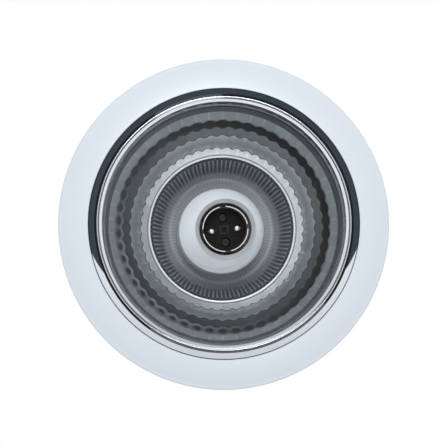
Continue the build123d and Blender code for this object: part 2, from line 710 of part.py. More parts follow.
def holder_cap():
    """White dome over the terminals, with two bosses that the block is screwed to."""
    top = -CAP_TOP_GAP
    inside = CAP_R - CAP_WALL
    ceiling = top - CAP_TOP_WALL
    cap = turned(
        Polyline((STEM_R + STEM_CLEAR, ceiling), (STEM_R + STEM_CLEAR, top), (CAP_TOP_R, top)),
        bulged((CAP_R, CAP_SHOULDER_Z), (CAP_TOP_R, top), CAP_DOME),
        Polyline(
            (CAP_R, CAP_SHOULDER_Z),
            (CAP_R, CAP_EDGE_Z),
            (inside, CAP_EDGE_Z),
            (inside, CAP_SHOULDER_Z),
            (CAP_TOP_R, ceiling),
            (STEM_R + STEM_CLEAR, ceiling),
        ),
    )
    for side in (-1, 1):
        boss = Cylinder(CAP_BOSS_R, ceiling - BLOCK_BACK_Z, align=UP)
        boss -= Cylinder(SMALL_SCREW_R + HOLE_CLEAR, 2 * BOSS_BITE)
        cap += Pos(0, side * BLOCK_SCREW_Y, BLOCK_BACK_Z) * boss
    room = Cylinder(STEM_FLANGE_R + STEM_CLEAR, STEM_FLANGE_T + STEM_ROOM, align=DOWN)
    return cap - Pos(0, 0, ceiling) * room


def block_screw():
    """Screw from the block's face, pointing up into the cap's boss."""
    seat = BLOCK_FACE_Z + BLOCK_SCREW_SINK
    return Location((0, 0, seat), (180, 0, 0)) * small_screw(BLOCK_BACK_Z - seat + BOSS_BITE - HOLE_CLEAR)


def holder_stem():
    """Hollow threaded stem that hangs the holder from the crown."""
    flange_z = -CAP_TOP_GAP - CAP_TOP_WALL
    stem = Pos(0, 0, flange_z) * Cylinder(STEM_R, STEM_TOP - flange_z, align=UP)
    stem += Pos(0, 0, flange_z) * Cylinder(STEM_FLANGE_R, STEM_FLANGE_T, align=DOWN)
    return stem - Cylinder(STEM_BORE_R, 8 * STEM_TOP)


def stem_washer():
    """Washer between the crown and the nut."""
    ring = Cylinder(WASHER_R, WASHER_T, align=UP) - Cylinder(STEM_R + STEM_CLEAR, 4 * WASHER_T)
    return Pos(0, 0, STRAP_T) * ring


def stem_nut():
    """Six-sided nut on the stem."""
    nut = extrude(RegularPolygon(NUT_ACROSS / 2, 6, major_radius=False), NUT_H)
    return Pos(0, 0, STRAP_T + WASHER_T) * (nut - Cylinder(STEM_R + STEM_CLEAR, 4 * NUT_H))


# Springs

def arc_pair(p0, t0, p1, t1):
    """Two arcs that join two points smoothly, leaving along t0 and arriving along t1."""
    chord = p1 - p0
    both = t0 + t1
    a = both.dot(both) - 4
    b = -2 * chord.dot(both)
    c = chord.dot(chord)
    d = (-b - sqrt(b * b - 4 * a * c)) / (2 * a)
    q0, q1 = p0 + t0 * d, p1 - t1 * d
    joint = (q0 + q1) * 0.5
    return [TangentArc(p0, joint, tangent=t0), TangentArc(joint, p1, tangent=(q1 - q0).normalized())]


def coil(radius, start, sweep_angle, advance):
    """Quarter turns of a helix about Z: its edges, and its place and heading at any share."""
    def place(share):
        angle = radians(start + sweep_angle * share)
        return Vector(radius * cos(angle), radius * sin(angle), advance * share)

    def heading(share):
        angle = radians(start + sweep_angle * share)
        turn = radians(sweep_angle)
        return Vector(-radius * turn * sin(angle), radius * turn * cos(angle), advance).normalized()

    quarters = max(1, round(abs(sweep_angle) / 90))
    edges = []
    for i in range(quarters):
        a, b = i / quarters, (i + 1) / quarters
        edges += arc_pair(place(a), heading(a), place(b), heading(b))
    return edges, place, heading


def wire_solid(name, edges, wire_r):
    """Round wire along smoothly joined edges, with its tightest bend and least gap to itself printed."""
    path = Wire(edges)
    tightest = min(edge.radius for edge in edges if edge.geom_type == GeomType.CIRCLE)
    steps = 600
    spots = [path @ (i / steps) for i in range(steps + 1)]
    apart = round(steps * 3 * wire_r * pi / path.length) + 1
    gap = min(
        (spots[i] - spots[j]).length - 2 * wire_r
        for i in range(len(spots))
        for j in range(i + apart, len(spots))
    )
    print(f"{name}: tightest bend {tightest:.2f} mm, least gap to itself {gap:.2f} mm")
    return sweep(Plane(origin=path @ 0, z_dir=path % 0) * Circle(wire_r), path=path)


def plunger_spring():
    """Compression spring between a plunger and its terminal."""
    z0 = plunger_collar_z() + PLUNGER_COLLAR_T + SPRING_SEAT + PLUNGER_WIRE_R
    z1 = BLOCK_BACK_Z - TERMINAL_PLUG - SPRING_SEAT - PLUNGER_WIRE_R
    edges, _, _ = coil(PLUNGER_SPRING_R, 0, 360 * PLUNGER_TURNS, z1 - z0)
    return Pos(0, 0, z0) * wire_solid("plunger spring", edges, PLUNGER_WIRE_R)


def clip_spring():
    """Torsion spring about Z, with one leg on the bracket and one on the arm."""
    start, end = 180.0, 90.0 - ARM_REST
    turning = end - start - 360 * CLIP_TURNS
    advance = -CLIP_PITCH * turning / 360
    edges, place, heading = coil(CLIP_COIL_R, start, turning, advance)
    first = Line(place(0) - heading(0) * LEG_DOWN, place(0))
    last = Line(place(1), place(1) + heading(1) * LEG_OUT)
    spring = wire_solid("clip spring", [first, *edges, last], CLIP_WIRE_R)
    return Pos(0, 0, -advance / 2) * spring


# Spring clips, built at the +Y side

def clip_places():
    """Turns that carry a clip to the rear and to the front of the collar."""
    return Rot(0, 0, 0), Rot(0, 0, 180)


def rivet_places():
    """Places of the two rivets in a clip's bracket, each looking out along its own axis."""
    return [Location((side * RIVET_X, PAD_FACE + CLIP_SHEET, RIVET_Z), (-90, 0, 0)) for side in (-1, 1)]


def pin_y():
    """Distance of a clip's pin from the axis of the fitting."""
    return PAD_FACE + PIN_OUT


def pin_frame():
    """Frame on a clip's pin: Z along the pin, X out along level, Y up."""
    return Plane(origin=(0, pin_y(), PIN_Z), x_dir=(0, 1, 0), z_dir=(1, 0, 0))


def arm_frame():
    """Frame on a clip's pin at rest: Z along the pin, X along the arm, Y out from it."""
    return Location(pin_frame()) * Rot(0, 0, -ARM_REST)


def clip_bracket():
    """Folded sheet bracket with a base on the pad and two ears for the pin."""
    half = CLIP_BASE_W / 2
    centre_z = (CLIP_Z0 + CLIP_Z1) / 2
    base = Pos(0, PAD_FACE + CLIP_SHEET / 2, centre_z) * Box(CLIP_BASE_W, CLIP_SHEET, CLIP_Z1 - CLIP_Z0)
    ear_w = PIN_OUT + EAR_OVER
    ear_h = CLIP_Z1 - EAR_Z0
    ear = Box(ear_w, ear_h, CLIP_SHEET)
    ear = fillet(ear.edges().filter_by(Axis.Z).group_by(Axis.X)[-1], EAR_OVER * 0.9)
    bracket = base
    for side in (-1, 1):
        centre = (side * (half - CLIP_SHEET / 2), PAD_FACE + ear_w / 2, CLIP_Z1 - ear_h / 2)
        bracket += Location(Plane(origin=centre, x_dir=(0, 1, 0), z_dir=(1, 0, 0))) * ear
    bracket -= Location(pin_frame()) * Cylinder(PIN_R + PIN_CLEAR, 2 * CLIP_BASE_W)
    for rivet in rivet_places():
        bracket -= rivet * Cylinder(RIVET_R + HOLE_CLEAR, 4 * CLIP_SHEET)
    return bracket


def clip_pin():
    """Headed pin through the bracket's ears."""
    half = CLIP_BASE_W / 2 + PIN_CLEAR
    pin = Cylinder(PIN_R, 2 * half)
    for side, align in ((1, UP), (-1, DOWN)):
        pin += Pos(0, 0, side * half) * Cylinder(PIN_HEAD_R, PIN_HEAD_T, align=align)
    return Location(pin_frame()) * pin


def arm_half():
    """Half width of a clip's arm, inside the bracket's ears."""
    return CLIP_BASE_W / 2 - CLIP_SHEET - ARM_GAP


def arm_length():
    """Length of an arm with its sleeve, so that the sleeve rests in the hollow behind the flange."""
    low_corner = (SLEEVE_THICK - ARM_PLATE_V) * cos(radians(ARM_REST))
    return (PIN_Z + SEAT_RECESS - SLEEVE_FLOOR_GAP - low_corner) / sin(radians(ARM_REST))


def clip_arm():
    """Sheet lever on the pin: two ears and a plate that reaches to the flange."""
    half = arm_half()
    tip = arm_length() - SLEEVE_THICK - SLEEVE_FIT
    plate_top = ARM_PLATE_V + CLIP_SHEET
    plate = Pos((ARM_PLATE_U + tip) / 2, ARM_PLATE_V + CLIP_SHEET / 2, 0) * Box(
        tip - ARM_PLATE_U, CLIP_SHEET, 2 * half
    )
    ear_box = Pos(ARM_EAR_L / 2, (plate_top - ARM_EAR_R) / 2, 0) * Box(
        ARM_EAR_L, plate_top + ARM_EAR_R, CLIP_SHEET
    )
    ear = ear_box + Cylinder(ARM_EAR_R, CLIP_SHEET) - Cylinder(PIN_R + PIN_CLEAR, 4 * CLIP_SHEET)
    arm = plate
    for side in (-1, 1):
        arm += Pos(0, 0, side * (half - CLIP_SHEET / 2)) * ear
    return arm_frame() * arm


def clip_sleeve():
    """Soft sleeve over the tip of an arm."""
    half = arm_half()
    end = arm_length()
    middle_v = ARM_PLATE_V + CLIP_SHEET / 2
    outer = Box(SLEEVE_LENGTH, CLIP_SHEET + 2 * SLEEVE_THICK, 2 * (half + SLEEVE_THICK))
    outer = fillet(outer.edges().filter_by(Axis.Y), SLEEVE_THICK * 0.8)
    pocket_l = SLEEVE_LENGTH - SLEEVE_THICK
    pocket = Pos(-SLEEVE_THICK / 2, 0, 0) * Box(
        pocket_l, CLIP_SHEET + 2 * SLEEVE_FIT, 2 * (half + SLEEVE_FIT)
    )
    return arm_frame() * Pos(end - SLEEVE_LENGTH / 2, middle_v, 0) * (outer - pocket)


def clip_rivet():
    """Domed rivet through the bracket, the pad and the collar."""
    collar_in = COLLAR_R - COLLAR_WALL
    far_edge = RIVET_X + RIVET_HEAD_R
    grip = PAD_FACE + CLIP_SHEET - sqrt(collar_in**2 - far_edge**2)
    head = fillet(Cylinder(RIVET_HEAD_R, RIVET_HEAD_T, align=UP).edges().sort_by(Axis.Z)[-1], RIVET_HEAD_T * 0.6)
    shank = Cylinder(RIVET_R, grip, align=DOWN)
    return head + shank + Pos(0, 0, -grip) * Cylinder(RIVET_HEAD_R, RIVET_HEAD_T, align=DOWN)


# Terminal box, in the crown's directions

def box_middle():
    """Middle of the terminal box along the crown."""
    return BOX_X0 + BOX_L / 2


def box_floor():
    """Inside floor of the terminal box."""
    return STRAP_T + BOX_WALL


def box_rim():
    """Rim of the terminal box, under its lid."""
    return STRAP_T + BOX_H


def lid_screw_places():
    """Places of the two lid screws: in a corner, and on the far wall just past the cord clamp."""
    inset = BOX_WALL + POST_R - POST_MERGE
    dx, dy = BOX_L / 2 - inset, BOX_W / 2 - inset
    past_clamp = clamp_y() + 2 * POST_R + CLAMP_GAP
    return Pos(box_middle() - dx, dy, box_rim()), Pos(box_middle() + dx, past_clamp, box_rim())


def clamp_screw_places():
    """Places of the two cord clamp screws, on top of their posts."""
    dx = CABLE_BORE_R + CLAMP_GAP + POST_R
    return [Pos(box_middle() + side * dx, clamp_y(), clamp_seat()) for side in (-1, 1)]


def clamp_y():
    """Place of the cord clamp across the crown, just inside the grommet."""
    return -(BOX_W / 2 - BOX_WALL - GROMMET_FLANGE_T / 2 - CLAMP_GAP - POST_R)


def clamp_seat():
    """Top of the posts that carry the cord clamp."""
    return CABLE_Z + CABLE_BORE_R + CLAMP_GAP


def terminal_box():
    """Open moulded box with a lead window, a cable hole and posts for its screws."""
    box = Pos(box_middle(), 0, STRAP_T) * (
        rounded_box(BOX_L, BOX_W, BOX_H, BOX_ROUND)
        - Pos(0, 0, BOX_WALL) * rounded_box(BOX_L - 2 * BOX_WALL, BOX_W - 2 * BOX_WALL, BOX_H, BOX_ROUND - BOX_WALL)
    )
    posts = [(place, box_rim()) for place in lid_screw_places()]
    posts += [(place, clamp_seat()) for place in clamp_screw_places()]
    for place, top in posts:
        box += place * Cylinder(POST_R, top - STRAP_T, align=DOWN)
        box -= place * Cylinder(SMALL_SCREW_R + HOLE_CLEAR, 2 * (top - box_floor()))
    box -= Pos(BOX_X0, block_y(), POLE_Z) * Box(4 * BOX_WALL, WINDOW_W, WINDOW_H)
    box -= cable_frame() * Cylinder(GROMMET_R, 4 * BOX_WALL)
    for x in box_screw_x():
        box -= Pos(x, 0, STRAP_T) * Cylinder(SCREW_R + HOLE_CLEAR, 4 * BOX_WALL)
    box -= block_screw_place() * Cylinder(SMALL_SCREW_R + HOLE_CLEAR, 2 * BLOCK_H + 2 * BOX_WALL)
    return box


def cable_frame():
    """Frame of the cable entry in the box's wall, looking out along -Y."""
    return Location((box_middle(), -BOX_W / 2 + BOX_WALL / 2, CABLE_Z), (90, 0, 0))


def cable_grommet():
    """Soft grommet in the cable hole, with a round bore for the supply cable."""
    half = BOX_WALL / 2
    grommet = Cylinder(GROMMET_R, BOX_WALL)
    grommet += Pos(0, 0, half) * Cylinder(GROMMET_FLANGE_R, GROMMET_FLANGE_T, align=UP)
    grommet += Pos(0, 0, -half) * Cylinder(GROMMET_FLANGE_R, GROMMET_FLANGE_T / 2, align=DOWN)
    return cable_frame() * (grommet - Cylinder(CABLE_BORE_R, 8 * GROMMET_FLANGE_T))


def terminal_lid():
    """Lid of the terminal box, with a lip inside its walls."""
    lid = Pos(box_middle(), 0, box_rim()) * rounded_box(BOX_L, BOX_W, LID_T, BOX_ROUND)
    lip_l = BOX_L - 2 * BOX_WALL - 2 * LID_CLEAR
    lip_w = BOX_W - 2 * BOX_WALL - 2 * LID_CLEAR
    lip = Pos(0, 0, -LID_LIP) * rounded_box(lip_l, lip_w, LID_LIP, BOX_ROUND - BOX_WALL)
    lip -= Box(lip_l - 2 * LID_LIP, lip_w - 2 * LID_LIP, 4 * LID_LIP)
    for place in lid_screw_places():
        centre = place.position
        lip -= Pos(centre.X - box_middle(), centre.Y, 0) * Cylinder(POST_R + LID_CLEAR, 4 * LID_LIP)
    lid += Pos(box_middle(), 0, box_rim()) * lip
    for place in lid_screw_places():
        lid -= place * Cylinder(SMALL_SCREW_R + HOLE_CLEAR, 4 * LID_T)
    return lid


def block_y():
    """Place of the terminal block across the crown, near the wall away from the cable."""
    return BOX_W / 2 - BOX_WALL - BLOCK_SET - BLOCK_W / 2


def pole_places():
    """Middle of each pole of the terminal block."""
    return [Pos(box_middle(), block_y() + side * POLE_PITCH, POLE_Z) for side in (-1, 0, 1)]


def block_screw_place():
    """Place of the screw that holds the terminal block, between two poles."""
    return Pos(box_middle(), block_y() + POLE_PITCH / 2, box_floor() + BLOCK_H - SMALL_HEAD_H)


def pole_screw_places():
    """Places of the terminal screws, on top of each insert."""
    places = []
    for pole in pole_places():
        places += [pole * Pos(side * POLE_SCREW_X, 0, INSERT_R) for side in (-1, 1)]
    return places


def terminal_block():
    """Moulded three-pole terminal block."""
    block = Pos(box_middle(), block_y(), box_floor()) * Box(BLOCK_L, BLOCK_W, BLOCK_H, align=UP)
    for pole in pole_places():
        block -= pole * Rot(0, 90, 0) * Cylinder(INSERT_R + INSERT_CLEAR, 2 * BLOCK_L)
    for place in pole_screw_places():
        block -= place * Pos(0, 0, -INSERT_R) * Cylinder(POLE_SCREW_HEAD_R + HOLE_CLEAR, 2 * BLOCK_H, align=UP)
    block -= block_screw_place() * Cylinder(SMALL_SCREW_R + HOLE_CLEAR, 4 * BLOCK_H)
    return block - block_screw_place() * Cylinder(SMALL_HEAD_R + HOLE_CLEAR, BLOCK_H, align=UP)


def terminal_insert(pole):
    """Brass tube of one pole, with two threaded holes."""
    tube = Cylinder(INSERT_R, INSERT_L) - Cylinder(INSERT_BORE_R, 2 * INSERT_L)
    insert = pole * Rot(0, 90, 0) * tube
    for side in (-1, 1):
        insert -= pole * Pos(side * POLE_SCREW_X, 0, 0) * Cylinder(POLE_SCREW_R + HOLE_CLEAR, 2 * INSERT_R, align=UP)
    return insert


def pole_screw():
    """Terminal screw whose tip stops above the lead."""
    length = INSERT_R - LEAD_R - HOLE_CLEAR
    return screw(POLE_SCREW_R, length, POLE_SCREW_HEAD_R, SMALL_HEAD_H)


def cord_clamp():
    """Clamp bar across the cable, on its two posts."""
    bar = Pos(box_middle(), clamp_y(), clamp_seat()) * Box(CLAMP_L, CLAMP_W, CLAMP_T, align=UP)
    for place in clamp_screw_places():
        bar -= place * Cylinder(SMALL_SCREW_R + HOLE_CLEAR, 4 * CLAMP_T)
    return bar


# Leads and earth point, in the crown's directions

def lead(name, points):
    """Insulated lead along straight runs joined by arcs as large as the runs allow."""
    radii = []
    for i in range(1, len(points) - 1):
        before, after = Vector(*points[i]) - Vector(*points[i - 1]), Vector(*points[i + 1]) - Vector(*points[i])
        turn = radians(before.get_angle(after))
        radii.append(0.45 * min(before.length, after.length) / tan(turn / 2))
    route = FilletPolyline(*points, radius=radii)
    tube = sweep(Plane(origin=route @ 0, z_dir=route % 0) * Circle(LEAD_R), path=route)
    ratio = tube.volume / (pi * LEAD_R**2 * route.length)
    print(f"{name}: arc radii {', '.join(f'{r:.1f}' for r in radii)} mm, volume over section times length {ratio:.4f}")
    return tube


def holder_lead(side, y_in_stem, pole):
    """Route of a lead from a holder terminal, up through the stem and over to its pole."""
    terminal = Rot(0, 0, HOLDER_TURN) * Pos(side * CONTACT_X, 0, BLOCK_BACK_Z + TERMINAL_H)
    x, y, top = terminal.position
    entry = pole.position
    face = box_middle() - BLOCK_L / 2
    end = face + LEAD_TUCK
    return [
        (x, y, top - LEAD_TUCK),
        (x, y, top + LEAD_RISE),
        (0.0, y_in_stem, top + LEAD_RISE + LEAD_SLANT),
        (0.0, y_in_stem, STEM_TOP + LEAD_LOOP),
        (face - LEAD_STRAIGHT, entry.Y, entry.Z),
        (end, entry.Y, entry.Z),
    ]


def earth_lead_route(pole):
    """Route of the earth lead from its tag, round the nut and in to its pole."""
    entry = pole.position
    face = box_middle() - BLOCK_L / 2
    barrel_z = STRAP_T + TAG_BARREL_R
    run_end = TAG_BARREL_Y + TAG_BARREL_L + EARTH_RUN
    return [
        (EARTH_X, TAG_BARREL_Y + TAG_MERGE, barrel_z),
        (EARTH_X, run_end, barrel_z),
        (EARTH_X + EARTH_SWING, run_end + EARTH_RISE, barrel_z + EARTH_RISE),
        (BOX_X0 - EARTH_NEAR, entry.Y + EARTH_BESIDE, entry.Z - EARTH_DIP),
        (face - EARTH_STRAIGHT, entry.Y, entry.Z),
        (face + LEAD_TUCK, entry.Y, entry.Z),
    ]


def earth_tag():
    """Ring tag under the earth screw, with a barrel on the lead."""
    tag = Cylinder(TAG_R, TAG_T, align=UP)
    neck_l = TAG_BARREL_Y + TAG_MERGE
    tag += Pos(0, neck_l / 2, TAG_T / 2) * Box(TAG_BARREL_R * 2, neck_l, TAG_T)
    barrel = Cylinder(TAG_BARREL_R, TAG_BARREL_L, align=UP)
    place = Location((0, TAG_BARREL_Y, TAG_BARREL_R), (-90, 0, 0))
    tag += place * barrel
    tag -= place * Cylinder(LEAD_R + HOLE_CLEAR, TAG_BARREL_L, align=UP)
    tag -= Cylinder(SCREW_R + HOLE_CLEAR, 4 * TAG_T)
    return Pos(EARTH_X, 0, STRAP_T) * tag


def build():
    """Make every piece in its place and write one file for each node."""
    os.makedirs("parts", exist_ok=True)
    save("trim_ring", trim_ring())
    save("bezel_ring", bezel_ring())
    save("faceted_reflector", faceted_reflector())
    save("fluted_neck", fluted_neck())
    save("neck_retaining_ring", neck_retaining_ring())

    save("holder_bracket", holder_bracket())
    foot_screw = large_screw(STRAP_T + PAD_PROUD + COLLAR_WALL + SCREW_THROUGH)
    save("bracket_screws", *[place * foot_screw for place in foot_screws()])

    save("holder_bell", HOLDER * holder_bell())
    save("bayonet_sleeve", HOLDER * bayonet_sleeve())
    save("contact_block", HOLDER * contact_block())
    save("holder_cap", HOLDER * holder_cap())
    block_screws = [HOLDER * Pos(0, side * BLOCK_SCREW_Y, 0) * block_screw() for side in (-1, 1)]
    save("contact_block_screws", *block_screws)
    plunger, spring = contact_plunger(), plunger_spring()
    contacts = {"left": HOLDER * Pos(-CONTACT_X, 0, 0), "right": HOLDER * Pos(CONTACT_X, 0, 0)}
    for side, place in contacts.items():
        save(f"contact_plunger_{side}", place * plunger)
        save(f"plunger_spring_{side}", place * spring)
        seat = place * Pos(0, 0, BLOCK_BACK_Z)
        save(f"holder_terminal_{side}", seat * holder_terminal())
    clamp_places = [place * Pos(0, 0, BLOCK_BACK_Z) for place in contacts.values()]
    save("holder_terminal_screws", *[place * terminal_clamp_screw() for place in clamp_places])
    save("holder_stem", CROWN * holder_stem())
    save("stem_washer", CROWN * stem_washer())
    save("stem_nut", CROWN * stem_nut())

    save("terminal_box", CROWN * terminal_box())
    save("terminal_lid", CROWN * terminal_lid())
    lid_screw = small_screw(LID_T + POST_BITE)
    save("lid_screws", *[CROWN * place * Pos(0, 0, LID_T) * lid_screw for place in lid_screw_places()])
    box_screw = large_screw(BOX_WALL + STRAP_T + SCREW_THROUGH)
    save("box_screws", *[CROWN * Pos(x, 0, box_floor()) * box_screw for x in box_screw_x()])
    save("terminal_block", CROWN * terminal_block())
    save("terminal_inserts", *[CROWN * terminal_insert(pole) for pole in pole_places()])
    save("terminal_screws", *[CROWN * place * pole_screw() for place in pole_screw_places()])
    save("block_screw", CROWN * block_screw_place() * small_screw(BLOCK_H - SMALL_HEAD_H + BOX_WALL))
    save("cable_grommet", CROWN * cable_grommet())
    save("cord_clamp", CROWN * cord_clamp())
    clamp_screw = small_screw(CLAMP_T + POST_BITE)
    save("clamp_screws", *[CROWN * place * Pos(0, 0, CLAMP_T) * clamp_screw for place in clamp_screw_places()])

    live_pole, neutral_pole, earth_pole = pole_places()
    save("live_lead", CROWN * lead("live lead", holder_lead(-1, -LEAD_HALF_GAP, live_pole)))
    save("neutral_lead", CROWN * lead("neutral lead", holder_lead(1, LEAD_HALF_GAP, neutral_pole)))
    save("earth_lead", CROWN * lead("earth lead", earth_lead_route(earth_pole)))
    save("earth_tag", CROWN * earth_tag())
    save("earth_screw", CROWN * Pos(EARTH_X, 0, STRAP_T + TAG_T) * large_screw(STRAP_T + TAG_T + SCREW_THROUGH))

    rivet = clip_rivet()
    rivets = []
    torsion = Location(pin_frame()) * clip_spring()
    for end, place in zip(("rear", "front"), clip_places()):
        save(f"clip_bracket_{end}", place * clip_bracket())
        save(f"clip_pin_{end}", place * clip_pin())
        save(f"clip_arm_{end}", place * clip_arm())
        save(f"clip_sleeve_{end}", place * clip_sleeve())
        save(f"clip_spring_{end}", place * torsion)
        rivets += [place * spot * rivet for spot in rivet_places()]
    save("clip_rivets", *rivets)


build()
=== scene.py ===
import logging
import math
import random
from dataclasses import dataclass, field, replace
from enum import Enum
from typing import Callable, Iterable, Sequence, Union

import bmesh
import bpy
from bmesh.types import BMEdge, BMesh, BMLayerItem, BMVert
from mathutils import Matrix, Vector


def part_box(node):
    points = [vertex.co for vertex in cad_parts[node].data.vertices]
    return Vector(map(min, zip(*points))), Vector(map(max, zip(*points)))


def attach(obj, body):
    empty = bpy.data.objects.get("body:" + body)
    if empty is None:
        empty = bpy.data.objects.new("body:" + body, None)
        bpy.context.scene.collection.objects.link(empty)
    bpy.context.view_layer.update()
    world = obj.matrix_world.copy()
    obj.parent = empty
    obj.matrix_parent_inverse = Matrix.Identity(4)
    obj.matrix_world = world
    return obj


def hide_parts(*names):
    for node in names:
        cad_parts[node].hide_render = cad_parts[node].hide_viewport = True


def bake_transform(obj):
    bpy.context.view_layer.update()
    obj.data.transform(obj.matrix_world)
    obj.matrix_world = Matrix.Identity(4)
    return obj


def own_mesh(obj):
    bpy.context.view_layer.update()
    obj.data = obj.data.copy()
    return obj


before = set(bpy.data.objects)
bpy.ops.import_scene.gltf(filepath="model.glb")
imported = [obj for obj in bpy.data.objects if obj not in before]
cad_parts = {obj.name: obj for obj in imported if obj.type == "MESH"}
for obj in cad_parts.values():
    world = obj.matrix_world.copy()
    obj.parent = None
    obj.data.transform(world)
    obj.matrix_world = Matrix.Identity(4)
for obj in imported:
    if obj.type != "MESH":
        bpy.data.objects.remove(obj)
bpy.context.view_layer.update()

# Recessed ceiling downlight seen from below: +X is to the right of the picture and -Y is its top.
# Sections are in millimetres of radius and height, angles in degrees, and meshes in metres.

log = logging.getLogger("downlight")

MM = 0.001
WELD = 1e-6                           # metres within which loose corners are one
SEAM = 1e-7                           # metres within which the seam of a turned section is one
FULL_TURN = 360.0
QUARTER_BULGE = 1 - math.sqrt(0.5)    # how far a quarter of a unit circle stands out from its chord
STAGE_FOLD = 180.0                    # angle that leaves no edge of the stage sharp
MIX_FIRST, MIX_SECOND, MIX_RESULT = 6, 7, 2    # colour sockets of a Mix node
# each face's tone is mostly painted light and shade (painted reflections, highlights and shade); on
# the reflector it also holds a random unevenness of the facets
TONE = "tone"                         # attribute of a face that scales its finish's colour

Point = tuple[float, float]
Colour = tuple[float, float, float]
Place = tuple[float, float, float]
Sharp = Callable[[BMEdge], bool]
ToneOf = Callable[[Vector, Vector], float]
Tree = bpy.types.ShaderNodeTree
Socket = bpy.types.NodeSocket
Value = Union[Socket, float]


class Pattern(Enum):
    """How a finish varies over its surface."""

    MOTTLE = "soft_mottle"
    SPANGLE = "zinc_spangle"
    TURNED = "turned_lines"
    STRIPE = "spiral_stripe"
    TONED = "toned_sheet"


@dataclass(frozen=True)
class Finish:
    """A finish: the record's slot it belongs to, its colour and how its surface varies.

    The pattern has its scale per metre and darkens the colour by up to its depth. The roughness
    runs over it from the first value of rough to the second, and bump is how strongly it stands
    out.
    """

    slot: str
    colour: Colour
    pattern: Pattern
    scale: float
    depth: float
    rough: tuple[float, float]
    bump: float = 0.0
    metallic: float = 0.0
    coat: float = 0.0
    coat_rough: float = 0.05
    specular: float = 0.5
    second: Colour = (1.0, 1.0, 1.0)


TRIM_WHITE = Finish(
    "trim_white", (0.785, 0.835, 0.90), Pattern.MOTTLE,
    scale=90.0, depth=0.03, rough=(0.30, 0.40), bump=0.02, coat=0.25, coat_rough=0.30,
)
BEZEL_CHROME = Finish(
    "bezel_chrome", (0.785, 0.83, 0.885), Pattern.TURNED,
    scale=1500.0, depth=0.02, rough=(0.03, 0.05), metallic=1.0,
)
REFLECTOR_BRIGHT = Finish(
    "reflector_bright", (0.88, 0.91, 0.92), Pattern.TONED,
    scale=260.0, depth=0.06, rough=(0.26, 0.34), bump=0.004, metallic=1.0,
)
NECK_BRIGHT = Finish(
    "neck_bright", (0.88, 0.92, 0.94), Pattern.TONED,
    scale=260.0, depth=0.08, rough=(0.28, 0.38), bump=0.02, metallic=0.5,
)
ZINC_STEEL = Finish(
    "zinc_steel", (0.60, 0.62, 0.65), Pattern.SPANGLE,
    scale=220.0, depth=0.14, rough=(0.25, 0.42), bump=0.04, metallic=1.0,
)
SCREW_STEEL = Finish(
    "screw_steel", (0.68, 0.69, 0.71), Pattern.MOTTLE,
    scale=900.0, depth=0.12, rough=(0.18, 0.34), bump=0.04, metallic=1.0,
)
SPRING_STEEL = Finish(
    "spring_steel", (0.46, 0.47, 0.50), Pattern.MOTTLE,
    scale=1400.0, depth=0.12, rough=(0.18, 0.32), bump=0.03, metallic=1.0,
)
HOLDER_WHITE = Finish(
    "holder_white", (0.86, 0.90, 0.94), Pattern.MOTTLE,
    scale=160.0, depth=0.03, rough=(0.20, 0.28), bump=0.02, coat=0.4,
)
BELL_WHITE = replace(HOLDER_WHITE, pattern=Pattern.TONED)
SLEEVE_NICKEL = Finish(
    "sleeve_nickel", (0.60, 0.56, 0.50), Pattern.TONED,
    scale=700.0, depth=0.10, rough=(0.30, 0.42), bump=0.03, metallic=1.0,
)
BLOCK_BROWN = Finish(
    "block_brown", (0.010, 0.008, 0.007), Pattern.TONED,
    scale=1200.0, depth=0.35, rough=(0.50, 0.62), bump=0.05, specular=0.15,
)
CONTACT_PLATED = Finish(
    "contact_brass", (0.82, 0.80, 0.74), Pattern.MOTTLE,
    scale=900.0, depth=0.10, rough=(0.10, 0.20), bump=0.03, metallic=1.0,
)
SCREW_BLACK = Finish(
    "screw_steel", (0.030, 0.031, 0.036), Pattern.MOTTLE,
    scale=900.0, depth=0.25, rough=(0.35, 0.50), bump=0.05, metallic=1.0,
)
CONTACT_BRASS = Finish(
    "contact_brass", (0.80, 0.70, 0.46), Pattern.MOTTLE,
    scale=900.0, depth=0.10, rough=(0.12, 0.24), bump=0.03, metallic=1.0,
)
BOX_PLASTIC = Finish(
    "box_plastic", (0.80, 0.81, 0.83), Pattern.MOTTLE,
    scale=1500.0, depth=0.05, rough=(0.38, 0.50), bump=0.10,
)
BLOCK_PLASTIC = Finish(
    "block_plastic", (0.84, 0.80, 0.70), Pattern.MOTTLE,
    scale=900.0, depth=0.05, rough=(0.34, 0.44), bump=0.04,
)
SOFT_BLACK = Finish(
    "soft_black", (0.028, 0.028, 0.030), Pattern.MOTTLE,
    scale=1300.0, depth=0.30, rough=(0.55, 0.72), bump=0.10,
)
LIVE_BROWN = Finish(
    "insulation_brown", (0.22, 0.085, 0.040), Pattern.MOTTLE,
    scale=1100.0, depth=0.08, rough=(0.34, 0.44), bump=0.03,
)
NEUTRAL_BLUE = Finish(
    "insulation_blue", (0.030, 0.15, 0.46), Pattern.MOTTLE,
    scale=1100.0, depth=0.08, rough=(0.34, 0.44), bump=0.03,
)
EARTH_STRIPE = Finish(
    "insulation_earth", (0.055, 0.30, 0.060), Pattern.STRIPE,
    scale=120.0, depth=0.08, rough=(0.34, 0.44), bump=0.03, second=(0.74, 0.62, 0.040),
)


def math_node(tree: Tree, operation: str, *values: Value) -> Socket:
    """Add a Math node.

    Args:
        tree: the nodes that it joins.
        operation: what it does with its values.
        values: its inputs in order, each a socket or a number.

    Returns:
        Its result.
    """
    node = tree.nodes.new("ShaderNodeMath")
    node.operation = operation
    for value, place in zip(values, node.inputs):
        if isinstance(value, float):
            place.default_value = value
        else:
            tree.links.new(value, place)
    return node.outputs[0]


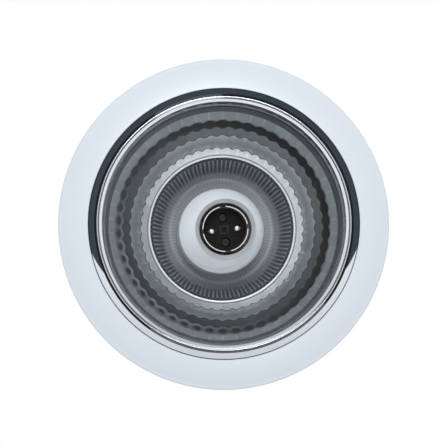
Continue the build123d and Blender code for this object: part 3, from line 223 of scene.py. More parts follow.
@dataclass
class EffectGroups:
    """Shader node groups that the finishes share, each built once."""

    mottle_detail: float = 5.0
    mottle_rough: float = 0.62
    ring_detail: float = 3.0
    grain_scale: float = 900.0
    grain_detail: float = 4.0
    cell_share: float = 0.55
    stripe_blur: float = 0.04
    stripe_grain: float = 1100.0
    stripe_detail: float = 2.0
    built: dict[Pattern, Tree] = field(default_factory=dict)

    def group(self, pattern: Pattern) -> Tree:
        """Give the group of a pattern, and build it the first time.

        Args:
            pattern: how the finish varies.

        Returns:
            The node group, with Colour and Mask outputs.
        """
        if pattern not in self.built:
            tree = bpy.data.node_groups.new(pattern.value, "ShaderNodeTree")
            self._sockets(tree)
            maker = {
                Pattern.MOTTLE: self._mottle,
                Pattern.SPANGLE: self._spangle,
                Pattern.TURNED: self._turned,
                Pattern.STRIPE: self._stripe,
                Pattern.TONED: self._toned,
            }[pattern]
            maker(tree)
            self.built[pattern] = tree
        return self.built[pattern]

    @staticmethod
    def _sockets(tree: Tree) -> None:
        """Give a group its named inputs and outputs.

        Args:
            tree: the group.
        """
        for name, kind in (
            ("Colour", "NodeSocketColor"),
            ("Second Colour", "NodeSocketColor"),
            ("Scale", "NodeSocketFloat"),
            ("Depth", "NodeSocketFloat"),
        ):
            tree.interface.new_socket(name, in_out="INPUT", socket_type=kind)
        for name, kind in (("Colour", "NodeSocketColor"), ("Mask", "NodeSocketFloat")):
            tree.interface.new_socket(name, in_out="OUTPUT", socket_type=kind)

    @staticmethod
    def _given(tree: Tree, name: str) -> Socket:
        """Give one of a group's inputs by its name."""
        return tree.nodes.new("NodeGroupInput").outputs[name]

    @staticmethod
    def _place(tree: Tree) -> Socket:
        """Give the place on the piece, in metres."""
        return tree.nodes.new("ShaderNodeTexCoord").outputs["Object"]

    @staticmethod
    def _noise(
        tree: Tree, place: Socket, scale: Value, detail: float, rough: float = 0.5,
    ) -> Socket:
        """Add a noise over the surface.

        Args:
            tree: the group.
            place: the coordinates that it reads.
            scale: its scale per metre, a socket or a number.
            detail: how many finer layers it has.
            rough: how strong these are.

        Returns:
            Its value, from 0 to 1.
        """
        noise = tree.nodes.new("ShaderNodeTexNoise")
        noise.inputs["Detail"].default_value = detail
        noise.inputs["Roughness"].default_value = rough
        tree.links.new(place, noise.inputs["Vector"])
        if isinstance(scale, float):
            noise.inputs["Scale"].default_value = scale
        else:
            tree.links.new(scale, noise.inputs["Scale"])
        return noise.outputs["Fac"]

    def _soft(self, tree: Tree) -> Socket:
        """Give the soft noise of a coat or a moulding, at the group's scale."""
        scale = self._given(tree, "Scale")
        return self._noise(tree, self._place(tree), scale, self.mottle_detail, self.mottle_rough)

    @staticmethod
    def _scaled(tree: Tree, colour: Socket, factor: Socket) -> Socket:
        """Give a colour times a factor.

        Args:
            tree: the group.
            colour: the colour.
            factor: the factor.

        Returns:
            The scaled colour.
        """
        scaled = tree.nodes.new("ShaderNodeVectorMath")
        scaled.operation = "SCALE"
        tree.links.new(colour, scaled.inputs[0])
        tree.links.new(factor, scaled.inputs["Scale"])
        return scaled.outputs[0]

    def _tone(self, tree: Tree) -> Socket:
        """Give the group's colour times the tone that each face of the mesh holds.

        Args:
            tree: the group.

        Returns:
            The toned colour.
        """
        tone = tree.nodes.new("ShaderNodeAttribute")
        tone.attribute_name = TONE
        return self._scaled(tree, self._given(tree, "Colour"), tone.outputs["Fac"])

    def _close(self, tree: Tree, mask: Socket, colour: Socket) -> None:
        """Darken a colour by the mask's depth and put both out.

        Args:
            tree: the group.
            mask: a value from 0 to 1 over the surface.
            colour: the colour that it darkens.
        """
        shade = math_node(tree, "MULTIPLY", mask, self._given(tree, "Depth"))
        keep = math_node(tree, "SUBTRACT", 1.0, shade)
        put_out = tree.nodes.new("NodeGroupOutput")
        tree.links.new(self._scaled(tree, colour, keep), put_out.inputs["Colour"])
        tree.links.new(mask, put_out.inputs["Mask"])

    def _mottle(self, tree: Tree) -> None:
        """Build the soft uneven tone of a coat or a moulding."""
        self._close(tree, self._soft(tree), self._given(tree, "Colour"))

    def _toned(self, tree: Tree) -> None:
        """Build the soft mottle of a surface, times each face's tone of painted light and shade."""
        self._close(tree, self._soft(tree), self._tone(tree))

    def _spangle(self, tree: Tree) -> None:
        """Build the crystals of a zinc coat, broken by a finer mottle.

        Args:
            tree: the group.
        """
        place = self._place(tree)
        cells = tree.nodes.new("ShaderNodeTexVoronoi")
        tree.links.new(place, cells.inputs["Vector"])
        tree.links.new(self._given(tree, "Scale"), cells.inputs["Scale"])
        grey = tree.nodes.new("ShaderNodeSeparateColor")
        tree.links.new(cells.outputs["Color"], grey.inputs[0])
        fine = self._noise(tree, place, self.grain_scale, self.grain_detail)
        weak = math_node(tree, "MULTIPLY", fine, 1 - self.cell_share)
        both = math_node(tree, "MULTIPLY_ADD", grey.outputs["Red"], self.cell_share, weak)
        self._close(tree, both, self._given(tree, "Colour"))

    def _turned(self, tree: Tree) -> None:
        """Build the fine rings left by turning and polishing about Z, times each face's tone of
        painted shade.

        Args:
            tree: the group.
        """
        nodes, links = tree.nodes, tree.links
        parts = nodes.new("ShaderNodeSeparateXYZ")
        links.new(self._place(tree), parts.inputs[0])
        flat = nodes.new("ShaderNodeCombineXYZ")
        links.new(parts.outputs["X"], flat.inputs["X"])
        links.new(parts.outputs["Y"], flat.inputs["Y"])
        radius = nodes.new("ShaderNodeVectorMath")
        radius.operation = "LENGTH"
        links.new(flat.outputs[0], radius.inputs[0])
        rings = nodes.new("ShaderNodeCombineXYZ")
        links.new(radius.outputs["Value"], rings.inputs["X"])
        links.new(parts.outputs["Z"], rings.inputs["Y"])
        scale = self._given(tree, "Scale")
        lines = self._noise(tree, rings.outputs[0], scale, self.ring_detail)
        self._close(tree, lines, self._tone(tree))

    def _stripe(self, tree: Tree) -> None:
        """Build two colours in bands along a lead.

        Args:
            tree: the group.
        """
        nodes, links = tree.nodes, tree.links
        place = self._place(tree)
        wave = nodes.new("ShaderNodeTexWave")
        wave.wave_type = "BANDS"
        wave.bands_direction = "DIAGONAL"
        links.new(place, wave.inputs["Vector"])
        links.new(self._given(tree, "Scale"), wave.inputs["Scale"])
        steep = nodes.new("ShaderNodeMapRange")
        steep.inputs["From Min"].default_value = 0.5 - self.stripe_blur
        steep.inputs["From Max"].default_value = 0.5 + self.stripe_blur
        links.new(wave.outputs["Fac"], steep.inputs["Value"])
        both = nodes.new("ShaderNodeMix")
        both.data_type = "RGBA"
        links.new(steep.outputs[0], both.inputs["Factor"])
        links.new(self._given(tree, "Colour"), both.inputs[MIX_FIRST])
        links.new(self._given(tree, "Second Colour"), both.inputs[MIX_SECOND])
        grain = self._noise(tree, place, self.stripe_grain, self.stripe_detail)
        self._close(tree, grain, both.outputs[MIX_RESULT])


@dataclass
class Workshop:
    """Makes each finish's material once and puts it on pieces."""

    relief: float = 0.2
    effects: EffectGroups = field(default_factory=EffectGroups)
    made: dict[Finish, bpy.types.Material] = field(default_factory=dict)

    def material(self, finish: Finish) -> bpy.types.Material:
        """Give a finish's material.

        Args:
            finish: the finish.

        Returns:
            Its material, made the first time it is asked for.
        """
        if finish not in self.made:
            self.made[finish] = self._make(finish)
        return self.made[finish]

    def _make(self, finish: Finish) -> bpy.types.Material:
        """Make a material from a finish: its pattern feeds colour, roughness and bump.

        Args:
            finish: the finish.

        Returns:
            The new material.
        """
        material = bpy.data.materials.new(finish.slot)
        material.use_nodes = True
        nodes, links = material.node_tree.nodes, material.node_tree.links
        surface = nodes["Principled BSDF"]
        surface.inputs["Metallic"].default_value = finish.metallic
        surface.inputs["Specular IOR Level"].default_value = finish.specular
        surface.inputs["Coat Weight"].default_value = finish.coat
        surface.inputs["Coat Roughness"].default_value = finish.coat_rough
        effect = nodes.new("ShaderNodeGroup")
        effect.node_tree = self.effects.group(finish.pattern)
        effect.inputs["Colour"].default_value = (*finish.colour, 1.0)
        effect.inputs["Second Colour"].default_value = (*finish.second, 1.0)
        effect.inputs["Scale"].default_value = finish.scale
        effect.inputs["Depth"].default_value = finish.depth
        links.new(effect.outputs["Colour"], surface.inputs["Base Color"])
        rough = nodes.new("ShaderNodeMapRange")
        rough.inputs["To Min"].default_value, rough.inputs["To Max"].default_value = finish.rough
        links.new(effect.outputs["Mask"], rough.inputs["Value"])
        links.new(rough.outputs[0], surface.inputs["Roughness"])
        bump = nodes.new("ShaderNodeBump")
        bump.inputs["Strength"].default_value = finish.bump
        bump.inputs["Distance"].default_value = self.relief * MM
        links.new(effect.outputs["Mask"], bump.inputs["Height"])
        links.new(bump.outputs[0], surface.inputs["Normal"])
        return material

    def dress(self, piece: bpy.types.Object, finish: Finish) -> None:
        """Give a new piece its finish and name the record's slot.

        Args:
            piece: the piece.
            finish: its finish.
        """
        piece.data.materials.clear()
        piece.data.materials.append(self.material(finish))

    def dress_node(self, name: str, finish: Finish) -> None:
        """Give a CAD node its finish, in its own material slots.

        Args:
            name: the node.
            finish: its finish.
        """
        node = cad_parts[name]
        if not node.material_slots:
            node.data.materials.append(self.material(finish))
        for place in node.material_slots:
            place.material = self.material(finish)
        log.info("%s: node in %s", name, finish.slot)


def angle_of(spot: Vector) -> float:
    """Give a spot's angle round Z, in radians."""
    return math.atan2(spot.y, spot.x)


def radius_of(spot: Vector) -> float:
    """Give a spot's distance from Z."""
    return math.hypot(spot.x, spot.y)


def arc(start: Point, end: Point, bulge: float, spans: int) -> list[Point]:
    """Points on an arc that stands out to the right of the way from start to end.

    Args:
        start: first point.
        end: last point.
        bulge: how far its middle stands out from the chord.
        spans: number of spans.

    Returns:
        The points, both ends included.
    """
    chord = math.dist(start, end)
    radius = (chord**2 / 4 + bulge**2) / (2 * bulge)
    half = math.asin(chord / (2 * radius))
    along = Vector(((end[0] - start[0]) / chord, (end[1] - start[1]) / chord))
    side = Vector((along.y, -along.x))
    middle = (Vector(start) + Vector(end)) / 2
    points = []
    for i in range(spans + 1):
        angle = half * (2 * i / spans - 1)
        lift = radius * math.cos(angle) - radius + bulge
        spot = middle + along * radius * math.sin(angle) + side * lift
        points.append((spot.x, spot.y))
    return points


def straight(start: Point, end: Point, spans: int) -> list[Point]:
    """Points on a straight run, both ends included."""
    return [tuple(Vector(start).lerp(Vector(end), i / spans)) for i in range(spans + 1)]


def draw_section(bm: BMesh, points: Sequence[Point]) -> list[BMVert]:
    """Draw a closed section of radius and height as a wire in the XZ plane.

    Args:
        bm: the mesh under work.
        points: the corners, in millimetres.

    Returns:
        The wire's vertices.
    """
    verts = [bm.verts.new((r * MM, 0.0, z * MM)) for r, z in points]
    for pair in zip(verts, verts[1:] + verts[:1]):
        bm.edges.new(pair)
    return verts


def round_corners(bm: BMesh, verts: Sequence[BMVert], radius: float, spans: int = 3) -> None:
    """Round some corners of a drawn section.

    Args:
        bm: the mesh under work.
        verts: the corners.
        radius: how far the round starts from a corner, in millimetres.
        spans: number of spans.
    """
    bmesh.ops.bevel(
        bm, geom=list(verts), offset=radius * MM, offset_type="OFFSET", affect="VERTICES",
        segments=spans, profile=0.5, material=-1,
    )


def bevel_edges(
    bm: BMesh, edges: Iterable[BMEdge], width: float, spans: int = 2, clamp: bool = False,
) -> None:
    """Round some edges of a solid.

    Args:
        bm: the mesh under work.
        edges: the edges.
        width: how far the round starts from an edge, in millimetres.
        spans: number of spans.
        clamp: whether rounds that would meet are held apart.
    """
    bmesh.ops.bevel(
        bm, geom=list(edges), offset=width * MM, offset_type="OFFSET", affect="EDGES",
        segments=spans, profile=0.5, material=-1, clamp_overlap=clamp,
    )


def turn_section(bm: BMesh, steps: int) -> None:
    """Turn the drawn section all the way round Z and face its walls outwards.

    Args:
        bm: the mesh under work.
        steps: number of steps round.
    """
    bmesh.ops.spin(
        bm, geom=list(bm.verts) + list(bm.edges), cent=(0, 0, 0), axis=(0, 0, 1),
        angle=math.tau, steps=steps, use_merge=True,
    )
    bmesh.ops.remove_doubles(bm, verts=list(bm.verts), dist=SEAM)
    bmesh.ops.recalc_face_normals(bm, faces=list(bm.faces))


def sharper_than(degrees: float) -> Sharp:
    """Give a test for edges whose faces meet at more than an angle."""
    limit = math.radians(degrees)
    return lambda edge: edge.calc_face_angle(math.pi) > limit


def finish_mesh(bm: BMesh, name: str, sharp: Sharp) -> bpy.types.Object:
    """Close a mesh under work into an object at the origin.

    Args:
        bm: the mesh, which is freed.
        name: the piece's name.
        sharp: which edges stay sharp.

    Returns:
        The new object, linked to the scene.
    """
    for face in bm.faces:
        face.smooth = True
    for edge in bm.edges:
        edge.smooth = not sharp(edge)
    mesh = bpy.data.meshes.new(name)
    bm.to_mesh(mesh)
    bm.free()
    piece = bpy.data.objects.new(name, mesh)
    bpy.context.scene.collection.objects.link(piece)
    log.info("%s: %d faces", name, len(mesh.polygons))
    return piece


@dataclass
class TrimRing:
    """Cast white flange with its ceiling rim, inner ledge, collar and four flat pads."""

    flange_r: float = 80.0
    edge_round: float = 1.2
    edge_h: float = 2.4
    drop: float = 7.0
    bulge: float = 0.5
    aperture_r: float = 65.4
    inner_round: float = 0.2
    rim_in: float = 76.4
    recess: float = 1.2
    collar_r: float = 63.0
    collar_in: float = 61.2
    collar_h: float = 28.0
    ledge_r: float = 59.6
    ledge_z: float = -3.4
    pad_face: float = 63.6
    pad_w: float = 20.0
    pad_depth: float = 1.7
    pad_round: float = 0.25
    pads: int = 4
    lip_round: float = 0.4
    face_spans: int = 10
    edge_spans: int = 5
    inner_spans: int = 4
    steps: int = 288
    fold: float = 40.0

    def section(self) -> list[Point]:
        """Give the closed section of flange, ledge and collar.

        Returns:
            The section's points.
        """
        edge_front = (self.flange_r - self.edge_round, -self.edge_h)
        edge_side = (self.flange_r, self.edge_round - self.edge_h)
        inner_front = (self.aperture_r + self.inner_round, -self.drop)
        inner_side = (self.aperture_r, self.inner_round - self.drop)
        edge_bulge = self.edge_round * QUARTER_BULGE
        inner_bulge = self.inner_round * QUARTER_BULGE
        points = arc(inner_front, edge_front, self.bulge, self.face_spans)
        points += arc(edge_front, edge_side, edge_bulge, self.edge_spans)[1:]
        points += [
            (self.flange_r, 0.0),
            (self.rim_in, 0.0),
            (self.rim_in, -self.recess),
            (self.collar_r, -self.recess),
            (self.collar_r, self.collar_h),
            (self.collar_in, self.collar_h),
            (self.collar_in, -self.recess),
            (self.ledge_r, -self.recess),
            (self.ledge_r, self.ledge_z),
            (self.aperture_r, self.ledge_z),
        ]
        return points + arc(inner_side, inner_front, inner_bulge, self.inner_spans)[:-1]

    def add_pads(self, bm: BMesh) -> None:
        """Set the flat pads on the collar.

        Args:
            bm: the turned ring.
        """
        inner = self.pad_face - self.pad_depth
        height = self.collar_h + self.recess
        size = Matrix.Diagonal((self.pad_face - inner, self.pad_w, height, 1.0))
        middle = Matrix.Translation(
            ((self.pad_face + inner) / 2, 0.0, height / 2 - self.recess)
        )
        for number in range(self.pads):
            turn = Matrix.Rotation(number * math.tau / self.pads, 4, "Z")
            place = Matrix.Scale(MM, 4) @ turn @ middle @ size
            pad = bmesh.ops.create_cube(bm, size=1.0, matrix=place)["verts"]
            bevel_edges(bm, {edge for vert in pad for edge in vert.link_edges}, self.pad_round)

    def build(self, shop: Workshop) -> None:
        """Turn the ring, set the pads on its collar and dress it.

        Args:
            shop: the materials.
        """
        bm = bmesh.new()
        verts = draw_section(bm, self.section())
        lip_z = self.collar_h * MM - WELD
        round_corners(bm, [vert for vert in verts if vert.co.z > lip_z], self.lip_round)
        turn_section(bm, self.steps)
        self.add_pads(bm)
        piece = finish_mesh(bm, "trim_ring_cast", sharper_than(self.fold))
        shop.dress(piece, TRIM_WHITE)
        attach(piece, "fixture")
        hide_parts("trim_ring")


@dataclass
class BezelRing:
    """Polished ring that stands out below the flange."""

    foot_r: float = 65.25
    foot_z: float = -7.4
    ledge_z: float = -3.4
    sleeve_r: float = 59.45
    top_z: float = 6.8
    top_r: float = 58.1
    cone_r: float = 62.2
    cone_z: float = -10.65
    cone_bulge: float = 0.04
    groove: float = 0.35
    inner_groove: float = 0.22
    crest_out: float = 61.1
    crest_in: float = 60.45
    crest_z: float = -10.75
    crest_bulge: float = 0.25
    lip_out: float = 59.85
    lip_in: float = 58.6
    lip_z: float = -9.75
    lip_bulge: float = 0.012
    # painted shade: near-black tones in the outer groove, the inner groove and at the foot joint
    groove_shades: tuple[float, ...] = (0.02, 0.15, 0.16)
    # painted shade: how much darker the low side of the crest, the lip and the cone is
    crest_shade: float = 0.35
    lip_shade: float = 0.36
    cone_shade: float = 0.24
    crest_spans: int = 8
    cone_spans: int = 10
    sleeve_spans: int = 6
    lip_spans: int = 6
    steps: int = 360
    fold: float = 40.0

    def section(self) -> tuple[list[Point], tuple[int, ...]]:
        """Give the closed section, with a fine groove on each side of its crest.

        Returns:
            The section's points, and the places among them of its lines of painted shade: the outer
            groove, the inner groove and the foot.
        """
        crest = ((self.crest_in, self.crest_z), (self.crest_out, self.crest_z))
        points = arc(*crest, self.crest_bulge, self.crest_spans)
        outer_groove = len(points)
        points += [(self.crest_out, self.crest_z + self.groove)]
        cone = ((self.cone_r, self.cone_z), (self.foot_r, self.foot_z))
        points += arc(*cone, self.cone_bulge, self.cone_spans)
        foot = len(points) - 1
        points += [
            (self.foot_r, self.ledge_z),
            (self.sleeve_r, self.ledge_z),
            (self.sleeve_r, self.top_z),
        ]
        lip_back = (self.lip_in, self.lip_z)
        lip_front = (self.lip_out, self.crest_z + self.groove)
        points += straight((self.top_r, self.top_z), lip_back, self.sleeve_spans)
        points += arc(lip_back, lip_front, self.lip_bulge, self.lip_spans)[1:]
        points += [(self.crest_in, self.crest_z + self.inner_groove)]
        return points, (outer_groove, len(points) - 1, foot)

    def tone_at(self, spot: Vector) -> float:
        """Tone of the polished ring, with painted shade on the low side of its crest, its lip and
        its cone.

        Args:
            spot: the spot, in metres.

        Returns:
            The tone, from 0 to 1.
        """
        radius = radius_of(spot)
        shade = self.crest_shade
        if radius < self.crest_in * MM:
            shade = self.lip_shade
        elif radius > self.crest_out * MM:
            shade = self.cone_shade
        return 1 - shade * max(0.0, spot.y / radius)

    def build(self, shop: Workshop) -> None:
        """Turn the ring, give its faces their tones and dress it.

        Args:
            shop: the materials.
        """
        points, lines = self.section()
        bm = bmesh.new()
        mark = bm.verts.layers.int.new("line")
        verts = draw_section(bm, points)
        for number, place in enumerate(lines, 1):
            verts[place][mark] = number
        turn_section(bm, self.steps)
        tone = bm.faces.layers.float.new(TONE)
        for face in bm.faces:
            number = max(vert[mark] for vert in face.verts)
            plain = self.tone_at(face.calc_center_median())
            face[tone] = self.groove_shades[number - 1] if number else plain
        piece = finish_mesh(bm, "bezel_polished", sharper_than(self.fold))
        shop.dress(piece, BEZEL_CHROME)
        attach(piece, "fixture")
        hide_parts("bezel_ring")


@dataclass
class FacetRow:
    """One row of facets, from its front edge to its back edge."""

    front_r: float
    front_z: float
    back_r: float
    back_z: float
    crown: float


@dataclass
class Reflector:
    """Pressed bowl with a front skirt, a smooth collar, five staggered rows of facets and a rim."""

    facets: int = 50
    steps_per_facet: int = 12
    spans: int = 8
    waves: tuple[float, ...] = (0.0, 0.65, 0.65, 0.65, 0.5, 0.0)
    flat: float = 0.2
    edges: tuple[Point, ...] = (
        (56.4, 16.0), (53.25, 28.9), (50.1, 33.9), (46.4, 39.1), (41.3, 50.8), (38.2, 53.0),
    )
    crowns: tuple[float, ...] = (0.06, 0.03, 0.03, 0.04, 0.03)
    # painted reflection: the front and back tone of each row, from the front, stands in for what
    # the row mirrors
    tones: tuple[Point, ...] = ((0.80, 0.90), (0.16, 0.19), (0.29, 0.33), (0.80, 0.60), (1.0, 1.0))
    # painted light and shade: how much each row's tone is lighter towards lean_way and darker
    # across from it
    leans: tuple[float, ...] = (0.0, -0.5, 0.45, 0.1, 0.36)
    lean_way: float = -45.0
    tone_most: float = 1.1
    # painted reflection: a dark lens with a light rim on each facet of one row
    lens_row: int = 1
    lens_mid: float = 0.42
    lens_half: float = 0.42
    lens_rim: float = 0.75
    lens_dark: float = 1.35
    lens_shrink: float = 0.35
    # painted shade in the crease along a row's back edge
    crease: float = 0.62
    # painted highlight on the facet divisions of the front row
    division: float = 1.15
    division_from: float = 0.45
    spread: float = 0.08
    seed: int = 7
    # painted shade on the rim, and a painted reflection on the collar that leans to one side
    rim_shade: float = 0.25
    collar_shade: float = 0.20
    collar_lean: float = -0.5
    collar_margin: float = 0.1
    back_tone: float = 0.8
    collar_in: float = 56.9
    collar_front: float = 57.7
    step_z: float = 7.0
    skirt_in: float = 59.65
    skirt_out: float = 60.65
    skirt_z: float = -1.2
    sheet: float = 1.0
    rim_z: float = 53.8
    rim_r: float = 37.3
    fold: float = 40.0

    def rows(self) -> list[FacetRow]:
        """Give the rows, the front one first."""
        pairs = zip(self.edges, self.edges[1:], self.crowns)
        return [FacetRow(*front, *back, crown) for front, back, crown in pairs]

    def section(self) -> tuple[list[Point], int]:
        """Give the closed section, which starts with the rows.

        Returns:
            The section's points, and how many of them are on the rows.
        """
        points: list[Point] = []
        for row in self.rows():
            run = straight((row.front_r, row.front_z), (row.back_r, row.back_z), self.spans)
            points += run if not points else run[1:]
        count = len(points)
        points += [(self.rim_r, self.edges[-1][1]), (self.rim_r, self.rim_z)]
        points += [(self.edges[-1][0] + self.sheet, self.rim_z)]
        points += [(r + self.sheet, z) for r, z in self.edges[:0:-1]]
        points += [
            (self.collar_in + self.sheet, self.edges[0][1]),
            (self.collar_front + self.sheet, self.step_z + self.sheet),
            (self.skirt_out, self.step_z + self.sheet),
            (self.skirt_out, self.skirt_z),
            (self.skirt_in, self.skirt_z),
            (self.skirt_in, self.step_z),
            (self.collar_front, self.step_z),
        ]
        return points, count

    def edge_z(self, index: int, angle: float) -> float:
        """Height of a wavy row edge at an angle; the first and the last edge are plain circles.

        Args:
            index: the edge, from the front.
            angle: the angle round Z.

        Returns:
            The height in millimetres.
        """
        swing = math.cos(self.facets * angle + math.pi * (index + 1))
        return self.edges[index][1] + self.waves[index] * swing

    def bowl_r(self, z: float) -> float:
        """Radius of the bowl at a height, along the straight rows.

        Args:
            z: the height in millimetres.

        Returns:
            The radius in millimetres.
        """
        for (r0, z0), (r1, z1) in zip(self.edges, self.edges[1:]):
            if z <= z1:
                break
        return r0 + (r1 - r0) * (z - z0) / (z1 - z0)

    def facet_place(self, row: int, spot: Vector) -> tuple[int, float]:
        """Find the facet that a spot is on; every other row is half a facet on.

        Args:
            row: the row, from the front.
            spot: the spot, in metres.

        Returns:
            The facet's number and the spot's place across it, from -0.5 to 0.5.
        """
        stagger = 0.5 if row % 2 else 0.0
        places = angle_of(spot) * self.facets / math.tau + stagger + 0.5
        facet = math.floor(places)
        return facet % self.facets, places - facet - 0.5

    def shape_rows(self, bm: BMesh, mark: BMLayerItem) -> None:
        """Move the turned rows to wavy edges and crowned, slightly flattened facets.

        Args:
            bm: the turned bowl.
            mark: layer with one more than a vertex's place in the rows, or 0 elsewhere.
        """
        rows = self.rows()
        for vert in bm.verts:
            if not vert[mark]:
                continue
            index = min((vert[mark] - 1) // self.spans, len(rows) - 1)
            share = (vert[mark] - 1) / self.spans - index
            angle = angle_of(vert.co)
            front, back = self.edge_z(index, angle), self.edge_z(index + 1, angle)
            z = front + (back - front) * share
            front_r, back_r = self.bowl_r(front), self.bowl_r(back)
            r = front_r + (back_r - front_r) * share - rows[index].crown * 4 * share * (1 - share)
            _, turn = self.facet_place(index, vert.co)
            sag = r * (1 - math.cos(math.pi / self.facets)) * (1 - (2 * turn) ** 2)
            r -= self.flat * sag * min(1.0, 8 * share * (1 - share))
            vert.co = Vector((r * math.cos(angle), r * math.sin(angle), z)) * MM

    def leaning(self, spot: Vector) -> float:
        """Give 1 at the side of the bowl that the painted light of the tones leans to, and -1
        across from it.
        """
        return math.cos(angle_of(spot) - math.radians(self.lean_way))

    def lean_at(self, lean: float, spot: Vector) -> float:
        """Factor of a tone with painted light towards one side of the bowl and painted shade across
        from it, at a spot.
        """
        return 1 + lean * self.leaning(spot)

    def lens_at(self, share: float, turn: float, spot: Vector) -> float:
        """Factor of the painted reflection on a facet of the lens row, away from the lean: a dark
        lens with a light rim.

        Args:
            share: place from the row's front edge to its back edge, from 0 to 1.
            turn: place across the facet, from -0.5 to 0.5.
            spot: the spot, in metres.

        Returns:
            The factor of the tone there.
        """
        side = max(0.0, -self.leaning(spot))
        across = (2 * turn) ** 2
        along = ((share - self.lens_mid) / self.lens_half) ** 2
        lens = max(0.0, 1 - self.lens_shrink * side - across - along)
        return 1 + side * (self.lens_rim - self.lens_dark * min(1.0, 2 * lens))

    def row_tone(self, row: int, span: int, shades: Sequence[float], spot: Vector) -> float:
        """Tone of a face in the rows: a painted reflection per row that leans to one side, painted
        shade in the crease along a row's back edge and a painted highlight on the front row's facet
        divisions.

        Args:
            row: the row, from the front.
            span: the face's span in the row, from the front.
            shades: factor of each facet of the row.
            spot: the face's centre, in metres.

        Returns:
            The tone.
        """
        front, back = self.tones[row]
        facet, turn = self.facet_place(row, spot)
        share = (span + 0.5) / self.spans
        plain = (front + (back - front) * share) * shades[facet]
        tone = min(self.tone_most, plain * self.lean_at(self.leans[row], spot))
        if row == self.lens_row:
            return tone * self.lens_at(share, turn, spot)
        if span == self.spans - 1 and row < len(self.tones) - 1:
            return tone * self.crease
        if row == 0 and abs(turn) > self.division_from:
            return tone * self.division
        return tone

    def sheet_tone(self, spot: Vector) -> float:
        """Tone of a face outside the rows: painted reflection on the collar, darker towards one
        side, painted shade on the rim, and a plain tone on the back.

        Args:
            spot: the face's centre, in metres.

        Returns:
            The tone.
        """
        radius = radius_of(spot)
        in_collar = radius < (self.skirt_in - self.collar_margin) * MM
        if in_collar and spot.z < self.edges[0][1] * MM + WELD:
            return self.collar_shade * self.lean_at(self.collar_lean, spot)
        return self.rim_shade if radius < self.edges[-1][0] * MM else self.back_tone

    def tone_faces(self, bm: BMesh, mark: BMLayerItem) -> None:
        """Give each face its tone, with the facets of a row a little uneven.

        Args:
            bm: the turned bowl.
            mark: layer with one more than a vertex's place in the rows, or 0 elsewhere.
        """
        tone = bm.faces.layers.float.new(TONE)
        draws = random.Random(self.seed)
        shades = [
            [1 + self.spread * draws.uniform(-1, 1) for _ in range(self.facets)]
            for _ in self.tones
        ]
        for face in bm.faces:
            marks = [vert[mark] for vert in face.verts]
            centre = face.calc_center_median()
            if all(marks):
                row, span = divmod(min(marks) - 1, self.spans)
                face[tone] = self.row_tone(row, span, shades[row], centre)
            else:
                face[tone] = self.sheet_tone(centre)

    def on_row_edge(self, edge: BMEdge, mark: BMLayerItem) -> bool:
        """Tell whether an edge runs along the front or the back of a row."""
        first, second = (vert[mark] for vert in edge.verts)
        return first == second and first > 0 and (first - 1) % self.spans == 0

    def build(self, shop: Workshop) -> None:
        """Turn the bowl, shape its facets and dress it.

        Args:
            shop: the materials.
        """
        points, count = self.section()
        bm = bmesh.new()
        mark = bm.verts.layers.int.new("row_place")
        verts = draw_section(bm, points)
        for place, vert in enumerate(verts[:count]):
            vert[mark] = place + 1
        turn_section(bm, self.facets * self.steps_per_facet)
        self.shape_rows(bm, mark)
        self.tone_faces(bm, mark)
        steep = sharper_than(self.fold)
        piece = finish_mesh(
            bm, "reflector_facets", lambda edge: self.on_row_edge(edge, mark) or steep(edge),
        )
        shop.dress(piece, REFLECTOR_BRIGHT)
        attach(piece, "fixture")
        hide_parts("faceted_reflector")


